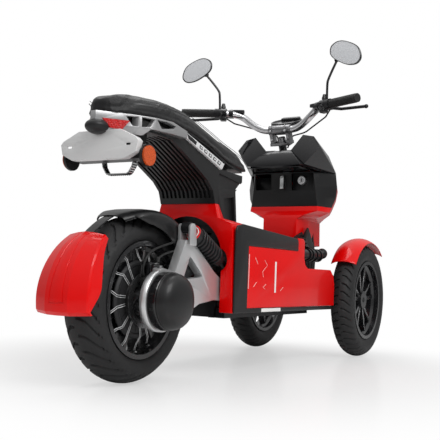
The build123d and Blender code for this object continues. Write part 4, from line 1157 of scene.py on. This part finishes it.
# ---- dash underside, lock, hook, gaiters ----
dash_outline = [(0.9075, -0.112), (0.9060, -0.050), (0.9060, 0.050), (0.9075, 0.112), (1.010, 0.124),
                (1.017, 0.124),
                (1.017, -0.124), (1.010, -0.124)]
dash_floor = slab("dash_floor", [ahead(x, y, 0.7455) for x, y in dash_outline], (0, 0, 1), 0.0030)
dress("dash_cover", "dash_floor", dash_floor, "gloss_black", stands=False)
lock_centre = centre_of("key_lock")
lock_profile = [(0.0, 0.0), (0.0, 0.0165), (0.004, 0.0170), (0.0070, 0.0150), (0.0070, 0.0110),
                (0.0045, 0.0100),
                (0.0045, 0.0)]
lock_ring = placed(turned("lock_ring", lock_profile, steps=40), lock_centre, *facing_rider)
dress("key_lock", "key_lock_ring", lock_ring, "bright_edge", stands=False)
lock_slot = soft_box("key_slot", lock_centre - Vector((0.0050, 0.0, 0.0)), (0.003, 0.0035, 0.0130), 0.001)
dress("key_lock", "key_slot", lock_slot, "gloss_black", stands=False)
eased("bag_hook", 0.0020, finish="polished")
hook_back = centre_of("bag_hook")
hook_back.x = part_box("bag_hook")[0][0] - 0.001
hook_plate = soft_box("hook_plate", hook_back, (0.003, 0.0155, 0.054), 0.001)
dress("bag_hook", "bag_hook_plate", hook_plate, "polished", stands=False)


def gaiter(side):
    """A pleated rubber cover that narrows upwards over the linkage."""
    levels = 15
    around = 20
    foot = ahead(1.030, side * 0.100, 0.392)
    peak = ahead(1.062, side * 0.092, 0.519)
    points = []
    for i in range(levels):
        share = i / (levels - 1)
        size = (1.0 - 0.92 * share ** 1.3) * (1.0 + (0.035 if i % 2 else -0.035))
        for angle in portions(around):
            long_way, short_way = (math.copysign(abs(turn) ** 0.7, turn) for turn in (math.cos(angle),
                    math.sin(angle)))
            points.append(foot.lerp(peak, share) + Vector((0.054 * size * long_way, 0.034 * size * short_way,
                                                           0.0)))
    faces = strips(levels, around, False, True)
    faces += [tuple(reversed(range(around))), tuple(range((levels - 1) * around, levels * around))]
    return outward(mesh_of("gaiter", points, faces))


put("linkage_gaiters", [gaiter(-1), gaiter(1)], body_of["linkage_covers"], "grip_rubber", (),
    25.0)

# ---- rear strap ----
bow_x = centre_of("latch_bow").x
bow_half = 0.0105
bow_line = [(-0.0560, 0.622), (-0.0520, 0.604), (-0.0400, 0.5860), (-0.0330, 0.5825), (0.0330, 0.5825),
            (0.0400, 0.5860),
            (0.0520, 0.604), (0.0560, 0.622)]
bands = []
for (y0, z0), (y1, z1) in zip(bow_line, bow_line[1:]):
    corners = [Vector((bow_x + x, y, z)) for x, y, z in ((-bow_half, y0, z0), (bow_half, y0, z0),
                                                         (bow_half, y1, z1),
                                                         (-bow_half, y1, z1))]
    bands.append(slab("band", corners, (0.0, z0 - z1, y1 - y0), 0.0028))
dress("latch_bow", "latch_strap", bands, "polished")
dimples = []
for offset in (-0.0070, 0.0, 0.0070):
    route = [Vector((bow_x + offset, y, z)) for y, z in bow_line]
    dimples.append(repeat("strap_dimples", route, bead(0.0021, 0.0046, 8), 24, "gloss_black"))
dress("latch_bow", "latch_strap_dimples", dimples, "gloss_black", stands=False)

# ---- saddle strips, sill marker, panel slots, painted highlight lines ----
def on_strip(share, across):
    """A place on the strip: share runs from its rear end to its front end, across from top to bottom."""
    top = Vector((0.090, 0.7265)).lerp(Vector((0.322, 0.6675)), share)
    low = Vector((0.094, 0.7105)).lerp(Vector((0.308, 0.6505)), share)
    return top.lerp(low, across)


def strip_plate(side, start, stop, top, low, face, thickness, draw_in=0.0):
    """A plate on the saddle strip between two shares of its length, narrower below by the draw-in."""
    corners = [on_strip(start, top), on_strip(stop, top), on_strip(stop - draw_in, low),
               on_strip(start + draw_in, low)]
    return slab("strip_plate", [ahead(c.x, side * face, c.y) for c in corners], (0, side, 0), thickness)


insets, centres = [], []
for side in (-1, 1):
    for start in [0.34 + 0.125 * k for k in range(5)]:
        insets.append(strip_plate(side, start, start + 0.075, 0.22, 0.78, 0.1110, 0.0016))
        centres.append(strip_plate(side, start + 0.017, start + 0.058, 0.36, 0.64, 0.1124, 0.0010))
    insets.append(strip_plate(side, 0.02, 0.26, 0.12, 0.88, 0.1110, 0.0016, 0.02))
put("saddle_strip_insets", insets, "chassis", "satin_black")
put("saddle_strip_centres", centres, "chassis", "strip_silver")

panel_rear = rear_axle.x + 0.293
panel_front = front_axle.x - 0.250


def side_half(x):
    """Half width of the floor section at station x."""
    return 0.180 + 0.042 * (x - panel_rear) / (panel_front - panel_rear)


def on_panel(x, z, side, stand):
    """A place on the side panel, standing off its face."""
    return ahead(x, side * (side_half(rear_axle.x + x) + stand), z)


def side_plate(name, corners, stand, thickness, side):
    """A plate lying on the side panel from (X ahead of the rear axle, Z) corners."""
    return slab(name, [on_panel(x, z, side, stand) for x, z in corners], (0, side, 0), thickness)


slot_corners = [(0.551, 0.262), (0.560, 0.262), (0.560, 0.366), (0.551, 0.366)]
marker_corners = [(0.462, 0.1992), (0.592, 0.1992), (0.592, 0.2105), (0.462, 0.2105)]
# Pale lines painted on the red side panel as highlights: a long painted highlight near the panel's rear edge
# and short broken painted highlights on its face.
rear_edge_highlight = [(0.378, 0.384), (0.378, 0.274)]
panel_highlight_routes = [[(0.4165, 0.375), (0.435, 0.354)], [(0.479, 0.369), (0.498, 0.351), (0.467, 0.3305),
                                                   (0.473, 0.313)],
               [(0.492, 0.289), (0.473, 0.280), (0.486, 0.274)], [(0.429, 0.295), (0.410, 0.280)],
               [(0.612, 0.280), (0.593, 0.268)], rear_edge_highlight]
slots, markers, highlight_lines = [], [], []
for side in (-1, 1):
    slots.append(side_plate("slot", slot_corners, -0.001, 0.0022, side))
    markers.append(side_plate("marker", marker_corners, 0.002, 0.0022, side))
    for route in panel_highlight_routes:
        width = 0.0016 if route is rear_edge_highlight else 0.0009
        highlight_lines.append(tube("mark", [on_panel(x, z, side, 0.0003) for x, z in route], width, 1, smooth=False))
put("panel_slots", slots, "chassis", "white_marker")
put("sill_markers", markers, "chassis", "white_marker")
put("panel_mark_lines", highlight_lines, "chassis", "painted_highlight_line")
deck_rib = soft_box("deck_rib", (0, 0, 0), (0.0024, 0.300, 0.0060), 0.0008)
deck_ribs = repeat("deck_mat_ribs", [ahead(0.500, 0.0, 0.4524), ahead(0.860, 0.0, 0.4524)], deck_rib, 31,
                   "deck_rubber")
dress("floor_deck", "deck_mat_ribs", deck_ribs, "deck_rubber", stands=False)

# ---- floor and light ----
floor_half = 14.0
floor_corners = [(-floor_half, -floor_half, 0), (floor_half, -floor_half, 0), (floor_half, floor_half, 0),
                 (-floor_half, floor_half, 0)]
floor_mesh = mesh_of("floor", floor_corners, [(0, 1, 2, 3)])
floor = bpy.data.objects.new("floor", floor_mesh)
bpy.context.collection.objects.link(floor)


def floor_finish():
    """A pale gloss floor that reads white to the camera and still keeps the shadow."""
    mat = bpy.data.materials.new("pale_floor")
    mat.use_nodes = True
    tree = mat.node_tree
    shader = tree.nodes["Principled BSDF"]
    for socket, value in (("Base Color", (0.9, 0.9, 0.9, 1)), ("Roughness", 0.22),
                          ("Specular IOR Level", 0.6)):
        shader.inputs[socket].default_value = value
    glow = add_node(tree, "ShaderNodeEmission", Color=(1, 1, 1, 1), Strength=1.0)
    ray = add_node(tree, "ShaderNodeLightPath")
    place = add_node(tree, "ShaderNodeTexCoord")
    reach = add_node(tree, "ShaderNodeVectorMath", operation="LENGTH")
    fade = add_node(tree, "ShaderNodeMapRange", interpolation_type="SMOOTHSTEP", From_Min=0.5, From_Max=1.35,
                    To_Min=0.5,
                    To_Max=1.0)
    share = add_node(tree, "ShaderNodeMath", operation="MULTIPLY")
    blend = add_node(tree, "ShaderNodeMixShader")
    wire(tree, (place.outputs["Object"], reach.inputs[0]), (reach.outputs["Value"], fade.inputs["Value"]),
         (ray.outputs["Is Camera Ray"], share.inputs[0]), (fade.outputs["Result"], share.inputs[1]),
         (share.outputs["Value"], blend.inputs[0]), (shader.outputs["BSDF"], blend.inputs[1]),
         (glow.outputs["Emission"], blend.inputs[2]),
         (blend.outputs["Shader"], tree.nodes["Material Output"].inputs["Surface"]))
    return mat


floor_mesh.materials.append(floor_finish())


def make_sky():
    """White to the camera and through glass; to gloss it is dim at the horizon and bright overhead."""
    world = bpy.context.scene.world or bpy.data.worlds.new("studio")
    bpy.context.scene.world = world
    world.use_nodes = True
    tree = world.node_tree
    sky = tree.nodes["Background"]
    sky.inputs["Color"].default_value = (1, 1, 1, 1)
    ray = add_node(tree, "ShaderNodeLightPath")
    seen = add_node(tree, "ShaderNodeMath", operation="MAXIMUM")
    place = add_node(tree, "ShaderNodeTexCoord")
    split = add_node(tree, "ShaderNodeSeparateXYZ")
    overhead = add_node(tree, "ShaderNodeMapRange", From_Min=0.0, From_Max=0.8, To_Min=0.22, To_Max=1.0)
    glossy = add_node(tree, "ShaderNodeMix")
    glossy.inputs[2].default_value = 0.46
    strength = add_node(tree, "ShaderNodeMix")
    strength.inputs[3].default_value = 1.0
    wire(tree, (ray.outputs["Is Camera Ray"], seen.inputs[0]),
         (ray.outputs["Is Transmission Ray"], seen.inputs[1]),
         (place.outputs["Generated"], split.inputs["Vector"]), (split.outputs["Z"], overhead.inputs["Value"]),
         (ray.outputs["Is Glossy Ray"], glossy.inputs[0]), (overhead.outputs["Result"], glossy.inputs[3]),
         (seen.outputs["Value"], strength.inputs[0]), (glossy.outputs[0], strength.inputs[2]),
         (strength.outputs[0], sky.inputs["Strength"]))


make_sky()


def soft_lamp(name, place, size, power):
    """A square lamp that looks at the middle of the vehicle."""
    data = bpy.data.lights.new(name, "AREA")
    data.size = size
    data.energy = power
    lamp = bpy.data.objects.new(name, data)
    lamp.location = place
    lamp.rotation_euler = (Vector((0, 0, 0.5)) - Vector(place)).to_track_quat("-Z", "Y").to_euler()
    bpy.context.collection.objects.link(lamp)


soft_lamp("key_lamp", (-1.6, -2.6, 3.0), 2.2, 92.0)
soft_lamp("top_lamp", (0.4, 0.6, 3.6), 2.0, 46.0)

bpy.context.scene.view_settings.view_transform = "Standard"
